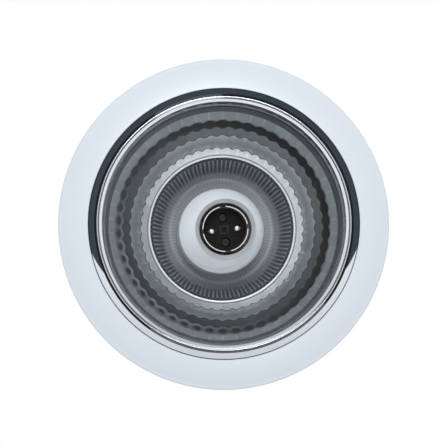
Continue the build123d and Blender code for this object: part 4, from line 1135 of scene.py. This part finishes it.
@dataclass
class FlutedNeck:
    """Thin cup of radial flutes with a bright front bead and a plain back round the lampholder."""

    flutes: int = 98
    steps_per_flute: int = 12
    depth: float = 0.9
    mouth_z: float = 53.0
    wall_out: float = 37.05
    wall: float = 0.6
    top_z: float = 77.0
    taper: float = 0.88
    back_z: float = 83.0
    back_t: float = 0.8
    hole_r: float = 20.5
    corner: float = 6.0
    bead_in: float = 36.5
    bead_out: float = 37.6
    bead_h: float = 0.5
    # painted shade in the flutes' valleys and painted light on their crests
    valley_shade: float = 0.035
    crest_tone: float = 1.0
    second_tone: float = 0.28
    narrow: float = 2.0
    # painted shade on the back: darker near the hole, lighter at the corner
    back_tones: tuple[float, ...] = (0.34, 0.31, 0.62)
    back_edge: float = 25.0
    corner_edge: float = 29.5
    fade: float = 0.6
    back_share: float = 0.12
    shade_z: float = 54.2
    shade_tone: float = 0.05
    wall_spans: int = 4
    corner_spans: int = 8
    bead_spans: int = 8
    fold: float = 50.0

    def section(self) -> tuple[list[Point], dict[int, float]]:
        """Give the closed section.

        Returns:
            The section's points and, for those on the flutes, the share of their depth there.
        """
        inner_r = self.wall_out - self.wall
        lean = (1 - self.taper) * inner_r
        shade_r = inner_r - lean * (self.shade_z - self.mouth_z) / (self.top_z - self.mouth_z)
        inside = [(inner_r, self.mouth_z)]
        inside += straight(
            (shade_r, self.shade_z), (inner_r * self.taper, self.top_z), self.wall_spans,
        )
        bulge = self.corner * QUARTER_BULGE
        corner_top = (inner_r * self.taper - self.corner, self.back_z)
        corner_low = (inner_r * self.taper, self.back_z - self.corner)
        points = inside[:-1] + arc(corner_low, corner_top, bulge, self.corner_spans)
        points += [(self.hole_r, self.back_z), (self.hole_r, self.back_z + self.back_t)]
        first_round = len(inside) - 1
        shares = {place: 1.0 for place in range(first_round)}
        for i in range(self.corner_spans + 1):
            shares[first_round + i] = max(0.0, 1 - i / (self.fade * self.corner_spans))
        outer_top = (corner_top[0], self.back_z + self.back_t)
        outer_low = (self.wall_out * self.taper, self.top_z)
        points += arc(outer_low, outer_top, bulge, self.corner_spans)[::-1]
        first_out = len(points)
        points += straight(outer_low, (self.wall_out, self.mouth_z), self.wall_spans)[1:]
        shares |= {place: 1.0 for place in range(first_out - 1, len(points))}
        bead_ends = ((self.bead_in, self.mouth_z), (self.bead_out, self.mouth_z))
        return points + arc(*bead_ends, self.bead_h, self.bead_spans)[::-1], shares

    def flute_wave(self, spot: Vector) -> float:
        """Give 0 in a flute's valley and 1 on its crest, at a spot's angle."""
        return 0.5 - 0.5 * math.cos(self.flutes * angle_of(spot))

    def tone_at(self, spot: Vector, share: float) -> float:
        """Tone of the cup, painted light and shade: a bright bead, painted highlights on the crests
        and painted shade in the valleys, a painted shadow just inside the bead, and a back in
        painted shade with a lighter edge.

        Args:
            spot: the spot, in metres.
            share: share of the flutes' depth there.

        Returns:
            The tone, from 0 to 1.
        """
        if spot.z < self.mouth_z * MM - WELD:
            return self.crest_tone
        if spot.z < self.shade_z * MM:
            return self.shade_tone
        wave = self.flute_wave(spot)
        lines = self.crest_tone * wave**self.narrow + self.second_tone * (1 - wave) ** self.narrow
        near, far, corner = self.back_tones
        radius = radius_of(spot) / MM
        out = min(1.0, (radius - self.hole_r) / (self.back_edge - self.hole_r))
        bend = (radius - self.back_edge) / (self.corner_edge - self.back_edge)
        plain = near + (far - near) * out
        plain += (corner - far) * min(1.0, max(0.0, bend))
        return plain + (max(self.valley_shade, lines) - plain) * max(self.back_share, share)

    def press_flutes(self, bm: BMesh, mark: BMLayerItem) -> None:
        """Press the flutes into the turned wall.

        Args:
            bm: the turned cup.
            mark: layer with a vertex's share of the flutes' depth.
        """
        for vert in bm.verts:
            if vert[mark] > 0.0:
                press = self.depth * MM * self.flute_wave(vert.co) * vert[mark]
                scale = 1 - press / radius_of(vert.co)
                vert.co.x *= scale
                vert.co.y *= scale

    def build(self, shop: Workshop) -> None:
        """Turn the cup, press its flutes, give its faces their tones and dress it.

        Args:
            shop: the materials.
        """
        points, shares = self.section()
        bm = bmesh.new()
        mark = bm.verts.layers.float.new("flute_share")
        verts = draw_section(bm, points)
        for place, share in shares.items():
            verts[place][mark] = share
        turn_section(bm, self.flutes * self.steps_per_flute)
        self.press_flutes(bm, mark)
        tone = bm.faces.layers.float.new(TONE)
        for face in bm.faces:
            share = sum(vert[mark] for vert in face.verts) / len(face.verts)
            face[tone] = self.tone_at(face.calc_center_median(), share)
        piece = finish_mesh(bm, "neck_flutes", sharper_than(self.fold))
        shop.dress(piece, NECK_BRIGHT)
        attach(piece, "fixture")
        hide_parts("fluted_neck")


class Side(Enum):
    """Side of the lampholder, along its own X."""

    LEFT = "left"
    RIGHT = "right"


@dataclass
class Lampholder:
    """Two-pin lampholder on its own slightly leaning axis: its bell, sleeve, block and springs."""

    crown_z: float = 109.0
    shift: float = -0.8
    lean: float = -2.6
    turn: float = -7.0
    mouth_z: float = -58.0
    mouth_r: float = 15.7
    mouth_edge: float = 0.6
    mouth_round: float = 0.25
    mouth_corner: int = 2
    skirt_z: float = -27.3
    skirt_r: float = 22.1
    skirt_edge: float = 1.2
    skirt_round: float = 0.35
    shoulder_z: float = -53.8
    shoulder_in: float = 0.25
    shoulder_round: float = 0.6
    dome_bulge: float = 0.4
    dome_spans: int = 14
    bell_steps: int = 192
    bell_fold: float = 34.0
    # painted shade on the bevel round the mouth
    bevel_shade: float = 0.62
    low_shade: float = 0.36
    aside: Point = (-2.06, 0.76)
    # painted shade inside the socket
    socket_shade: float = 0.5
    skirt_wall: float = 1.9
    skirt_slope: float = 2.5
    socket_r: float = 13.4
    bevel_w: float = 2.0
    bevel_h: float = 1.7
    tube_r: float = 15.2
    top_z: float = -16.0
    lip_z: float = -41.6
    lip_t: float = 0.7
    lip_r: float = 12.3
    rim_z: float = -57.0
    # painted shade on the floors of the sleeve's slots
    slot_shade: float = 0.10
    boss_z: float = -47.4
    # painted light on the front of the block's boss
    boss_light: float = 3.2
    face_margin: float = 0.1
    face_tilt: float = -0.5
    part_fold: float = 40.0
    contact_x: float = 6.7
    spring_r: float = 2.2
    spring_wire: float = 0.35
    spring_turns: int = 6
    spring_low: float = -40.85
    spring_high: float = -29.45
    plunger_travel: float = 2.6

    def crown(self) -> Matrix:
        """Place of the bracket's crown, in metres."""
        middle = Matrix.Translation((self.shift * MM, 0, self.crown_z * MM))
        return middle @ Matrix.Rotation(math.radians(self.lean), 4, "Y")

    def place(self) -> Matrix:
        """Place of the holder on its stem, in metres."""
        return self.crown() @ Matrix.Rotation(math.radians(self.turn), 4, "Z")

    def build(self, shop: Workshop) -> None:
        """Make the bell, the sleeve and the block in it, and the plungers' springs.

        Args:
            shop: the materials.
        """
        self.build_bell(shop)
        self.build_toned(
            shop, "bayonet_sleeve", "sleeve_plated", SLEEVE_NICKEL, self.sleeve_tone,
        )
        self.build_toned(shop, "contact_block", "block_moulded", BLOCK_BROWN, self.block_tone)
        for side in Side:
            self.build_plunger_spring(shop, side)

    def bell_section(self) -> list[Point]:
        """Give the closed section of the bell, which starts with the bevel round its mouth.

        Returns:
            The section's points; mouth_corner is the place of the mouth's outer corner.
        """
        mouth_edge = (self.mouth_r, self.mouth_z + self.mouth_edge)
        shoulder = (self.skirt_r - self.shoulder_in, self.shoulder_z)
        inside = self.skirt_r - self.skirt_wall
        rise = (inside - self.tube_r) * self.skirt_slope
        points = [
            (self.socket_r, self.mouth_z + self.bevel_h),
            (self.socket_r + self.bevel_w, self.mouth_z),
            (self.mouth_r, self.mouth_z),
        ]
        points += arc(mouth_edge, shoulder, self.dome_bulge, self.dome_spans)
        return points + [
            (self.skirt_r, self.skirt_z - self.skirt_edge),
            (self.skirt_r, self.skirt_z),
            (inside, self.skirt_z),
            (self.tube_r, self.skirt_z - rise),
            (self.tube_r, self.top_z),
            (self.socket_r, self.top_z),
            (self.socket_r, self.lip_z + self.lip_t),
            (self.lip_r, self.lip_z + self.lip_t),
            (self.lip_r, self.lip_z),
            (self.socket_r, self.lip_z),
        ]

    def bell_tone(self, spot: Vector) -> float:
        """Tone of the bell: painted shade in the socket, on its bevel and on the low side.

        Args:
            spot: the spot before the bell is set in its place, in metres.

        Returns:
            The tone, from 0 to 1.
        """
        radius = radius_of(spot) / MM
        bevel_top = (self.mouth_z + self.bevel_h) * MM
        if radius < self.socket_r + WELD / MM:
            return self.socket_shade
        if radius < self.socket_r + self.bevel_w and spot.z < bevel_top:
            return self.bevel_shade
        return 1.0 - self.low_shade * max(0.0, spot.y / MM / radius)

    def build_bell(self, shop: Workshop) -> None:
        """Turn the bell, set its skirt a little aside of the socket, lean it and dress it.

        Args:
            shop: the materials.
        """
        bm = bmesh.new()
        verts = draw_section(bm, self.bell_section())
        shoulder_z = self.shoulder_z * MM + SEAM
        outer = max((v for v in verts if v.co.z < shoulder_z), key=lambda v: v.co.x)
        round_corners(bm, [outer], self.shoulder_round)
        round_corners(bm, [verts[self.mouth_corner]], self.mouth_round)
        skirt_z = self.skirt_z * MM
        skirt = next(v for v in verts if v.is_valid and abs(v.co.z - skirt_z) < SEAM)
        round_corners(bm, [skirt], self.skirt_round)
        turn_section(bm, self.bell_steps)
        tone = bm.faces.layers.float.new(TONE)
        for face in bm.faces:
            face[tone] = self.bell_tone(face.calc_center_median())
        for vert in bm.verts:
            out = (radius_of(vert.co) / MM - self.mouth_r) / (self.skirt_r - self.mouth_r)
            vert.co += Vector((*self.aside, 0.0)) * MM * max(0.0, out)
        bm.transform(self.place())
        piece = finish_mesh(bm, "holder_bell_glazed", sharper_than(self.bell_fold))
        shop.dress(piece, BELL_WHITE)
        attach(piece, "fixture")
        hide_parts("holder_bell")

    def sleeve_tone(self, centre: Vector, facing: Vector) -> float:
        """Tone of a face of the sleeve in the holder's frame: painted shade on the floors of its
        slots.
        """
        floor = facing.z < self.face_tilt and centre.z > (self.rim_z + self.face_margin) * MM
        return self.slot_shade if floor else 1.0

    def block_tone(self, centre: Vector, facing: Vector) -> float:
        """Tone of a face of the block in the holder's frame: painted light on the front of its
        boss.
        """
        boss = facing.z < self.face_tilt and centre.z < (self.boss_z + self.face_margin) * MM
        return self.boss_light if boss else 1.0

    def build_toned(
        self, shop: Workshop, node: str, name: str, finish: Finish, tone_of: ToneOf,
    ) -> None:
        """Copy a node of the holder, give each face its tone and dress it.

        Args:
            shop: the materials.
            node: the node.
            name: the piece's name.
            finish: its finish.
            tone_of: gives a face's tone from its centre and its normal in the holder's frame.
        """
        bm = bmesh.new()
        bm.from_mesh(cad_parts[node].data)
        bmesh.ops.remove_doubles(bm, verts=list(bm.verts), dist=WELD)
        home = self.place().inverted()
        turn = home.to_3x3()
        tone = bm.faces.layers.float.new(TONE)
        for face in bm.faces:
            face[tone] = tone_of(home @ face.calc_center_median(), turn @ face.normal)
        piece = finish_mesh(bm, name, sharper_than(self.part_fold))
        shop.dress(piece, finish)
        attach(piece, "fixture")
        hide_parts(node)

    def build_plunger_spring(self, shop: Workshop, side: Side) -> None:
        """Wind the spring behind a contact plunger, at its length at rest; the real spring shortens
        as the plunger goes in.

        Args:
            shop: the materials.
            side: the plunger's side along the holder's X.
        """
        height = self.spring_high - self.spring_low
        spring = Coil(self.spring_r, self.spring_wire, 0.0, FULL_TURN * self.spring_turns, height)
        bm = spring.wind()
        x = self.contact_x if side is Side.RIGHT else -self.contact_x
        place = self.place() @ Matrix.Translation((x * MM, 0, self.spring_low * MM))
        bm.transform(place)
        piece = finish_mesh(bm, f"plunger_coil_{side.value}", sharper_than(spring.fold))
        shop.dress(piece, SPRING_STEEL)
        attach(piece, "fixture")
        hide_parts(f"plunger_spring_{side.value}")
        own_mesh(piece)


@dataclass
class Coil:
    """Round wire wound about Z, with an optional straight leg at each end."""

    radius: float
    wire: float
    start: float
    turning: float
    advance: float
    first_leg: float = 0.0
    last_leg: float = 0.0
    sides: int = 10
    steps_per_turn: int = 28
    least_steps: int = 4
    fold: float = 60.0

    def heading(self, degrees: float) -> Vector:
        """Give the direction of the wire at an angle.

        Args:
            degrees: the angle round Z.

        Returns:
            The direction, of length 1.
        """
        angle = math.radians(degrees)
        swing = self.radius * math.radians(self.turning)
        level = (-swing * math.sin(angle), swing * math.cos(angle))
        return Vector((*level, self.advance)).normalized()

    def wind(self) -> BMesh:
        """Wind the wire with a climbing spin and draw out its legs.

        Returns:
            The closed mesh, in metres, with its start at z = 0.
        """
        bm = bmesh.new()
        first = self.heading(self.start)
        begin = math.radians(self.start)
        centre = Vector((self.radius * math.cos(begin), self.radius * math.sin(begin), 0.0)) * MM
        facing = first.to_track_quat("Z", "Y").to_matrix().to_4x4()
        ring = bmesh.ops.create_circle(
            bm, cap_ends=False, radius=self.wire * MM, segments=self.sides,
            matrix=Matrix.Translation(centre) @ facing,
        )["verts"]
        loop = list({edge for vert in ring for edge in vert.link_edges})
        steps = max(self.least_steps, round(abs(self.turning) / FULL_TURN * self.steps_per_turn))
        last = bmesh.ops.spin(
            bm, geom=list(ring) + loop, cent=(0, 0, 0), axis=(0, 0, 1),
            dvec=(0, 0, self.advance * MM / steps), angle=math.radians(self.turning), steps=steps,
        )["geom_last"]
        ends = [loop, [item for item in last if isinstance(item, BMEdge)]]
        shifts = (first * -self.first_leg, self.heading(self.start + self.turning) * self.last_leg)
        for i, shift in enumerate(shifts):
            if shift.length > 0.0:
                drawn = bmesh.ops.extrude_edge_only(bm, edges=ends[i])["geom"]
                moved = [item for item in drawn if isinstance(item, BMVert)]
                bmesh.ops.translate(bm, vec=shift * MM, verts=moved)
                edges = [item for item in drawn if isinstance(item, BMEdge)]
                ends[i] = [edge for edge in edges if all(vert in moved for vert in edge.verts)]
        for end in ends:
            bmesh.ops.contextual_create(bm, geom=end)
        bmesh.ops.recalc_face_normals(bm, faces=list(bm.faces))
        return bm


class ClipEnd(Enum):
    """End of the fitting that a spring clip stands at."""

    REAR = "rear"
    FRONT = "front"


@dataclass
class SpringClip:
    """Torsion spring and soft tip of one spring clip, at the rear or turned round to the front."""

    end: ClipEnd
    pin_y: float = 68.0
    pin_z: float = 22.0
    coil_r: float = 2.5
    wire: float = 0.6
    turning: float = -1250.0
    pitch: float = 1.7
    leg_down: float = 7.0
    leg_out: float = 11.0
    arm_rest: float = 80.0
    sleeve_l: float = 7.0
    sleeve_t: float = 3.0
    sleeve_w: float = 17.4
    sleeve_round: float = 0.8
    arm_l: float = 23.2
    sleeve_v: float = 1.1
    sleeve_spans: int = 4
    sleeve_fold: float = 50.0
    coil_start: float = 180.0

    def turned(self) -> Matrix:
        """Turn that carries the rear clip to this end."""
        return Matrix.Rotation(math.pi if self.end is ClipEnd.FRONT else 0.0, 4, "Z")

    def pin_frame(self) -> Matrix:
        """Give the frame on the pin: Z along the pin, X out along level, Y up.

        Returns:
            The frame, in metres.
        """
        return self.turned() @ Matrix((
            (0, 0, 1, 0),
            (1, 0, 0, self.pin_y * MM),
            (0, 1, 0, self.pin_z * MM),
            (0, 0, 0, 1),
        ))

    def build(self, shop: Workshop) -> None:
        """Wind the spring, mould the soft tip and dress both.

        Args:
            shop: the materials.
        """
        body = f"clip_{self.end.value}"
        advance = -self.pitch * self.turning / FULL_TURN
        spring = Coil(
            self.coil_r, self.wire, self.coil_start, self.turning, advance,
            first_leg=self.leg_down, last_leg=self.leg_out,
        )
        bm = spring.wind()
        place = self.pin_frame() @ Matrix.Translation((0, 0, -advance / 2 * MM))
        bm.transform(place)
        piece = finish_mesh(bm, f"clip_coil_{self.end.value}", sharper_than(spring.fold))
        shop.dress(piece, SPRING_STEEL)
        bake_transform(piece)
        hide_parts(f"clip_spring_{self.end.value}")
        self.build_tip(shop, body)

    def build_tip(self, shop: Workshop, body: str) -> None:
        """Mould the soft tip over the end of the arm.

        Args:
            shop: the materials.
            body: the clip's moving body.
        """
        bm = bmesh.new()
        rest = Matrix.Rotation(-math.radians(self.arm_rest), 4, "Z")
        arm = self.pin_frame() @ rest @ Matrix.Scale(MM, 4)
        middle = Matrix.Translation((self.arm_l - self.sleeve_l / 2, self.sleeve_v, 0.0))
        size = Matrix.Diagonal((self.sleeve_l, self.sleeve_t, self.sleeve_w, 1.0))
        bmesh.ops.create_cube(bm, size=1.0, matrix=arm @ middle @ size)
        bevel_edges(bm, list(bm.edges), self.sleeve_round, self.sleeve_spans)
        piece = finish_mesh(bm, f"clip_tip_{self.end.value}", sharper_than(self.sleeve_fold))
        shop.dress(piece, SOFT_BLACK)
        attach(piece, body)
        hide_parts(f"clip_sleeve_{self.end.value}")


@dataclass
class Grommet:
    """Soft grommet in the box's wall, turned about the cable's axis along -Y."""

    groove_r: float = 5.0
    flange_r: float = 6.8
    front_t: float = 2.0
    back_t: float = 1.0
    wall: float = 1.6
    bore_r: float = 3.9
    edge_round: float = 0.55
    round_spans: int = 4
    soft_corners: tuple[int, ...] = (0, 1, 5, 6, 7)
    steps: int = 64
    fold: float = 45.0

    def build(self, shop: Workshop) -> None:
        """Turn the grommet, set it in its node's place and dress it.

        Args:
            shop: the materials.
        """
        low, high = (Vector(corner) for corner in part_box("cable_grommet"))
        back = -self.wall - self.back_t
        points = [
            (self.bore_r, back),
            (self.flange_r, back),
            (self.flange_r, -self.wall),
            (self.groove_r, -self.wall),
            (self.groove_r, 0.0),
            (self.flange_r, 0.0),
            (self.flange_r - self.edge_round, self.front_t),
            (self.bore_r, self.front_t),
        ]
        bm = bmesh.new()
        verts = draw_section(bm, points)
        soft = [verts[i] for i in self.soft_corners]
        round_corners(bm, soft, self.edge_round, self.round_spans)
        turn_section(bm, self.steps)
        middle = (low + high) / 2
        face = Matrix.Translation((middle.x, low.y + self.front_t * MM, middle.z))
        bm.transform(face @ Matrix.Rotation(math.pi / 2, 4, "X"))
        piece = finish_mesh(bm, "grommet_moulded", sharper_than(self.fold))
        shop.dress(piece, SOFT_BLACK)
        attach(piece, "fixture")
        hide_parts("cable_grommet")


@dataclass
class EasedParts:
    """Sheet and moulded parts whose corners are eased, as tumbling or a mould leaves them."""

    sharp_angle: float = 40.0
    flat_angle: float = 0.5
    sheet_ease: float = 0.15
    box_ease: float = 0.35
    block_ease: float = 0.25
    cap_ease: float = 0.4

    def build(self, shop: Workshop) -> None:
        """Ease the corners of each part and dress it.

        Args:
            shop: the materials.
        """
        sheets = ("holder_bracket", "clip_bracket_rear", "clip_bracket_front")
        for finish, ease, names in (
            (ZINC_STEEL, self.sheet_ease, sheets),
            (BOX_PLASTIC, self.box_ease, ("terminal_box", "terminal_lid", "cord_clamp")),
            (BLOCK_PLASTIC, self.block_ease, ("terminal_block",)),
            (HOLDER_WHITE, self.cap_ease, ("holder_cap",)),
        ):
            for name in names:
                self.ease(shop, name, finish, ease)

    def ease(self, shop: Workshop, name: str, finish: Finish, ease: float) -> None:
        """Copy a node's mesh, join its flat faces and bevel its corners.

        Args:
            shop: the materials.
            name: the node.
            finish: its finish.
            ease: width of the bevel, in millimetres.
        """
        bm = bmesh.new()
        bm.from_mesh(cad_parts[name].data)
        bmesh.ops.remove_doubles(bm, verts=list(bm.verts), dist=WELD)
        bmesh.ops.dissolve_limit(
            bm, angle_limit=math.radians(self.flat_angle),
            verts=list(bm.verts), edges=list(bm.edges),
        )
        sharp = sharper_than(self.sharp_angle)
        bevel_edges(bm, [edge for edge in bm.edges if sharp(edge)], ease, clamp=True)
        bmesh.ops.triangulate(bm, faces=list(bm.faces))
        piece = finish_mesh(bm, f"{name}_eased", sharp)
        even = piece.modifiers.new("even_normals", "WEIGHTED_NORMAL")
        even.keep_sharp = True
        shop.dress(piece, finish)
        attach(piece, "fixture")
        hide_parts(name)


@dataclass
class Leads:
    """Insulated leads from the holder to the terminal block."""

    def build(self, shop: Workshop) -> None:
        """Dress the leads where the CAD lays them.

        Args:
            shop: the materials.
        """
        for name, finish in (
            ("live_lead", LIVE_BROWN),
            ("neutral_lead", NEUTRAL_BLUE),
            ("earth_lead", EARTH_STRIPE),
        ):
            shop.dress_node(name, finish)


NODE_FINISHES: dict[Finish, tuple[str, ...]] = {
    ZINC_STEEL: (
        "neck_retaining_ring", "stem_washer", "clip_arm_rear", "clip_arm_front",
    ),
    SCREW_STEEL: (
        "bracket_screws", "lid_screws", "box_screws", "block_screw", "clamp_screws",
        "clip_pin_rear", "clip_pin_front", "clip_rivets",
    ),
    SCREW_BLACK: ("contact_block_screws",),
    CONTACT_PLATED: ("contact_plunger_left", "contact_plunger_right"),
    CONTACT_BRASS: (
        "holder_terminal_left", "holder_terminal_right", "holder_terminal_screws", "holder_stem",
        "stem_nut", "terminal_inserts", "terminal_screws", "earth_tag", "earth_screw",
    ),
}


@dataclass(frozen=True)
class Softbox:
    """Round soft lamp that shines at the fitting; its size and place are in metres."""

    name: str
    size: float
    energy: float
    at: Place


@dataclass
class Studio:
    """Pale floor, soft light, dark shapes that the bright metal mirrors, and the camera below."""

    floor_z: float = -2.4
    floor_size: float = 80.0
    floor_colour: Colour = (0.90, 0.91, 0.92)
    floor_rough: float = 0.6
    floor_glow: float = 0.4
    world_level: float = 0.55
    slate_colour: Colour = (0.060, 0.072, 0.090)
    slate_rough: float = 0.9
    flag_r: float = 1.5
    flag_low: float = -0.25
    flag_high: float = 0.55
    flag_from: float = 145.5
    flag_sweep: float = 249.0
    flag_taper: float = 40.0
    flag_steps: int = 96
    hood_r: float = 0.28
    hood_z: float = -1.1
    hood_steps: int = 64
    lamp_colour: Colour = (0.93, 0.96, 1.0)
    lamps: tuple[Softbox, ...] = (
        Softbox("softbox_top", 0.8, 9.8, (-0.05, -0.60, -1.45)),
        Softbox("softbox_low", 0.35, 1.6, (0.20, 0.50, -1.45)),
        Softbox("softbox_above", 1.4, 12.0, (0.9, -1.1, 1.5)),
    )
    camera_at: Place = (-0.0174, 0.0455, -0.972)
    camera_aim: Place = (-0.00018, -0.00023, -0.002)
    camera_reach: float = 50.0
    view_angle: float = 12.69

    def build(self) -> None:
        """Set up the stage, the light and the camera."""
        self.build_floor()
        self.build_flag()
        self.build_hood()
        self.build_world()
        self.build_lamps()
        self.build_camera()

    @staticmethod
    def plain(name: str, colour: Colour, rough: float) -> bpy.types.Material:
        """Make a plain material for the stage.

        Args:
            name: its name.
            colour: its colour.
            rough: its roughness.

        Returns:
            The material.
        """
        material = bpy.data.materials.new(name)
        material.use_nodes = True
        surface = material.node_tree.nodes["Principled BSDF"]
        surface.inputs["Base Color"].default_value = (*colour, 1.0)
        surface.inputs["Roughness"].default_value = rough
        return material

    @staticmethod
    def backdrop_rays(tree: Tree) -> Socket:
        """Give 1 for rays of the camera, of mirrors and of glass, and 0 for light.

        Args:
            tree: the nodes of the floor or the world.

        Returns:
            The socket with the 1 or 0.
        """
        rays = tree.nodes.new("ShaderNodeLightPath")
        seen = rays.outputs["Is Camera Ray"]
        for name in ("Is Glossy Ray", "Is Transmission Ray"):
            seen = math_node(tree, "MAXIMUM", seen, rays.outputs[name])
        return seen

    def build_floor(self) -> None:
        """Lay the pale floor well below the camera."""
        bm = bmesh.new()
        bmesh.ops.create_grid(
            bm, x_segments=1, y_segments=1, size=self.floor_size / 2,
            matrix=Matrix.Translation((0, 0, self.floor_z)),
        )
        floor = finish_mesh(bm, "studio_floor", sharper_than(STAGE_FOLD))
        material = self.plain("floor_pale", self.floor_colour, self.floor_rough)
        tree = material.node_tree
        surface = tree.nodes["Principled BSDF"]
        surface.inputs["Emission Color"].default_value = (1.0, 1.0, 1.0, 1.0)
        glow = math_node(tree, "MULTIPLY", self.backdrop_rays(tree), self.floor_glow)
        tree.links.new(glow, surface.inputs["Emission Strength"])
        floor.data.materials.append(material)

    def build_flag(self) -> None:
        """Hang a dark flag round the top and the sides of the picture, seen only by mirror rays."""
        bm = bmesh.new()
        start = math.radians(self.flag_from)
        side = Vector((math.cos(start), math.sin(start), 0.0)) * self.flag_r
        ends = [bm.verts.new(side + Vector((0, 0, z))) for z in (self.flag_low, self.flag_high)]
        edge = bm.edges.new(ends)
        bmesh.ops.spin(
            bm, geom=[*ends, edge], cent=(0, 0, 0), axis=(0, 0, 1),
            angle=math.radians(self.flag_sweep), steps=self.flag_steps,
        )
        bmesh.ops.remove_doubles(bm, verts=list(bm.verts), dist=WELD)
        for vert in bm.verts:
            if vert.co.z > 0.0:
                along = (math.degrees(angle_of(vert.co)) - self.flag_from) % FULL_TURN
                left = max(0.0, self.flag_sweep - along)
                share = min(1.0, along / self.flag_taper, left / self.flag_taper)
                vert.co.z = self.flag_low + (self.flag_high - self.flag_low) * share
        self.mirror_only(finish_mesh(bm, "studio_flag", sharper_than(STAGE_FOLD)))

    def build_hood(self) -> None:
        """Hang a dark disc behind the camera, seen only by mirror rays."""
        bm = bmesh.new()
        bmesh.ops.create_circle(
            bm, cap_ends=True, radius=self.hood_r, segments=self.hood_steps,
            matrix=Matrix.Translation((0, 0, self.hood_z)),
        )
        self.mirror_only(finish_mesh(bm, "studio_hood", sharper_than(STAGE_FOLD)))

    def mirror_only(self, dark: bpy.types.Object) -> None:
        """Make a dark stage piece that only mirror rays see.

        Args:
            dark: the piece.
        """
        slate = self.plain("stage_slate", self.slate_colour, self.slate_rough)
        dark.data.materials.append(slate)
        dark.visible_camera = False
        dark.visible_diffuse = False
        dark.visible_shadow = False
        dark.visible_transmission = False

    def build_world(self) -> None:
        """Make a white surround that mirrors and the camera see at full white."""
        world = bpy.data.worlds.new("studio_world")
        bpy.context.scene.world = world
        world.use_nodes = True
        nodes, links = world.node_tree.nodes, world.node_tree.links
        back = nodes["Background"]
        back.inputs["Color"].default_value = (1.0, 1.0, 1.0, 1.0)
        seen = self.backdrop_rays(world.node_tree)
        level = nodes.new("ShaderNodeMapRange")
        level.inputs["To Min"].default_value = self.world_level
        level.inputs["To Max"].default_value = 1.0
        links.new(seen, level.inputs["Value"])
        links.new(level.outputs[0], back.inputs["Strength"])

    def build_lamps(self) -> None:
        """Hang soft lamps below, towards the top and the bottom of the picture, and one above."""
        for softbox in self.lamps:
            lamp = bpy.data.lights.new(softbox.name, "AREA")
            lamp.shape = "DISK"
            lamp.size = softbox.size
            lamp.energy = softbox.energy
            lamp.color = self.lamp_colour
            piece = bpy.data.objects.new(softbox.name, lamp)
            bpy.context.scene.collection.objects.link(piece)
            at = Vector(softbox.at)
            aim = (-at).to_track_quat("-Z", "Y").to_matrix().to_4x4()
            piece.matrix_world = Matrix.Translation(at) @ aim

    def build_camera(self) -> None:
        """Stand the camera where the photograph was taken from."""
        data = bpy.data.cameras.new("photo_camera")
        data.angle = math.radians(self.view_angle)
        data.clip_end = self.camera_reach
        camera = bpy.data.objects.new("photo_camera", data)
        bpy.context.scene.collection.objects.link(camera)
        at = Vector(self.camera_at)
        ahead = (Vector(self.camera_aim) - at).normalized()
        right = ahead.cross(Vector((0.0, -1.0, 0.0))).normalized()
        up = right.cross(ahead)
        turn = Matrix((right, up, -ahead)).transposed().to_4x4()
        camera.matrix_world = Matrix.Translation(at) @ turn
        bpy.context.scene.camera = camera
        bpy.context.scene.view_settings.view_transform = "Standard"


def main() -> None:
    """Build and dress every sub-assembly, then the studio."""
    logging.basicConfig(level=logging.INFO, format="%(name)s: %(message)s")
    shop = Workshop()
    for assembly in (
        TrimRing(), BezelRing(), Reflector(), FlutedNeck(), Lampholder(),
        SpringClip(ClipEnd.REAR), SpringClip(ClipEnd.FRONT), Grommet(), EasedParts(), Leads(),
    ):
        assembly.build(shop)
    for finish, names in NODE_FINISHES.items():
        for name in names:
            shop.dress_node(name, finish)
    Studio().build()


if __name__ == "__main__":
    main()
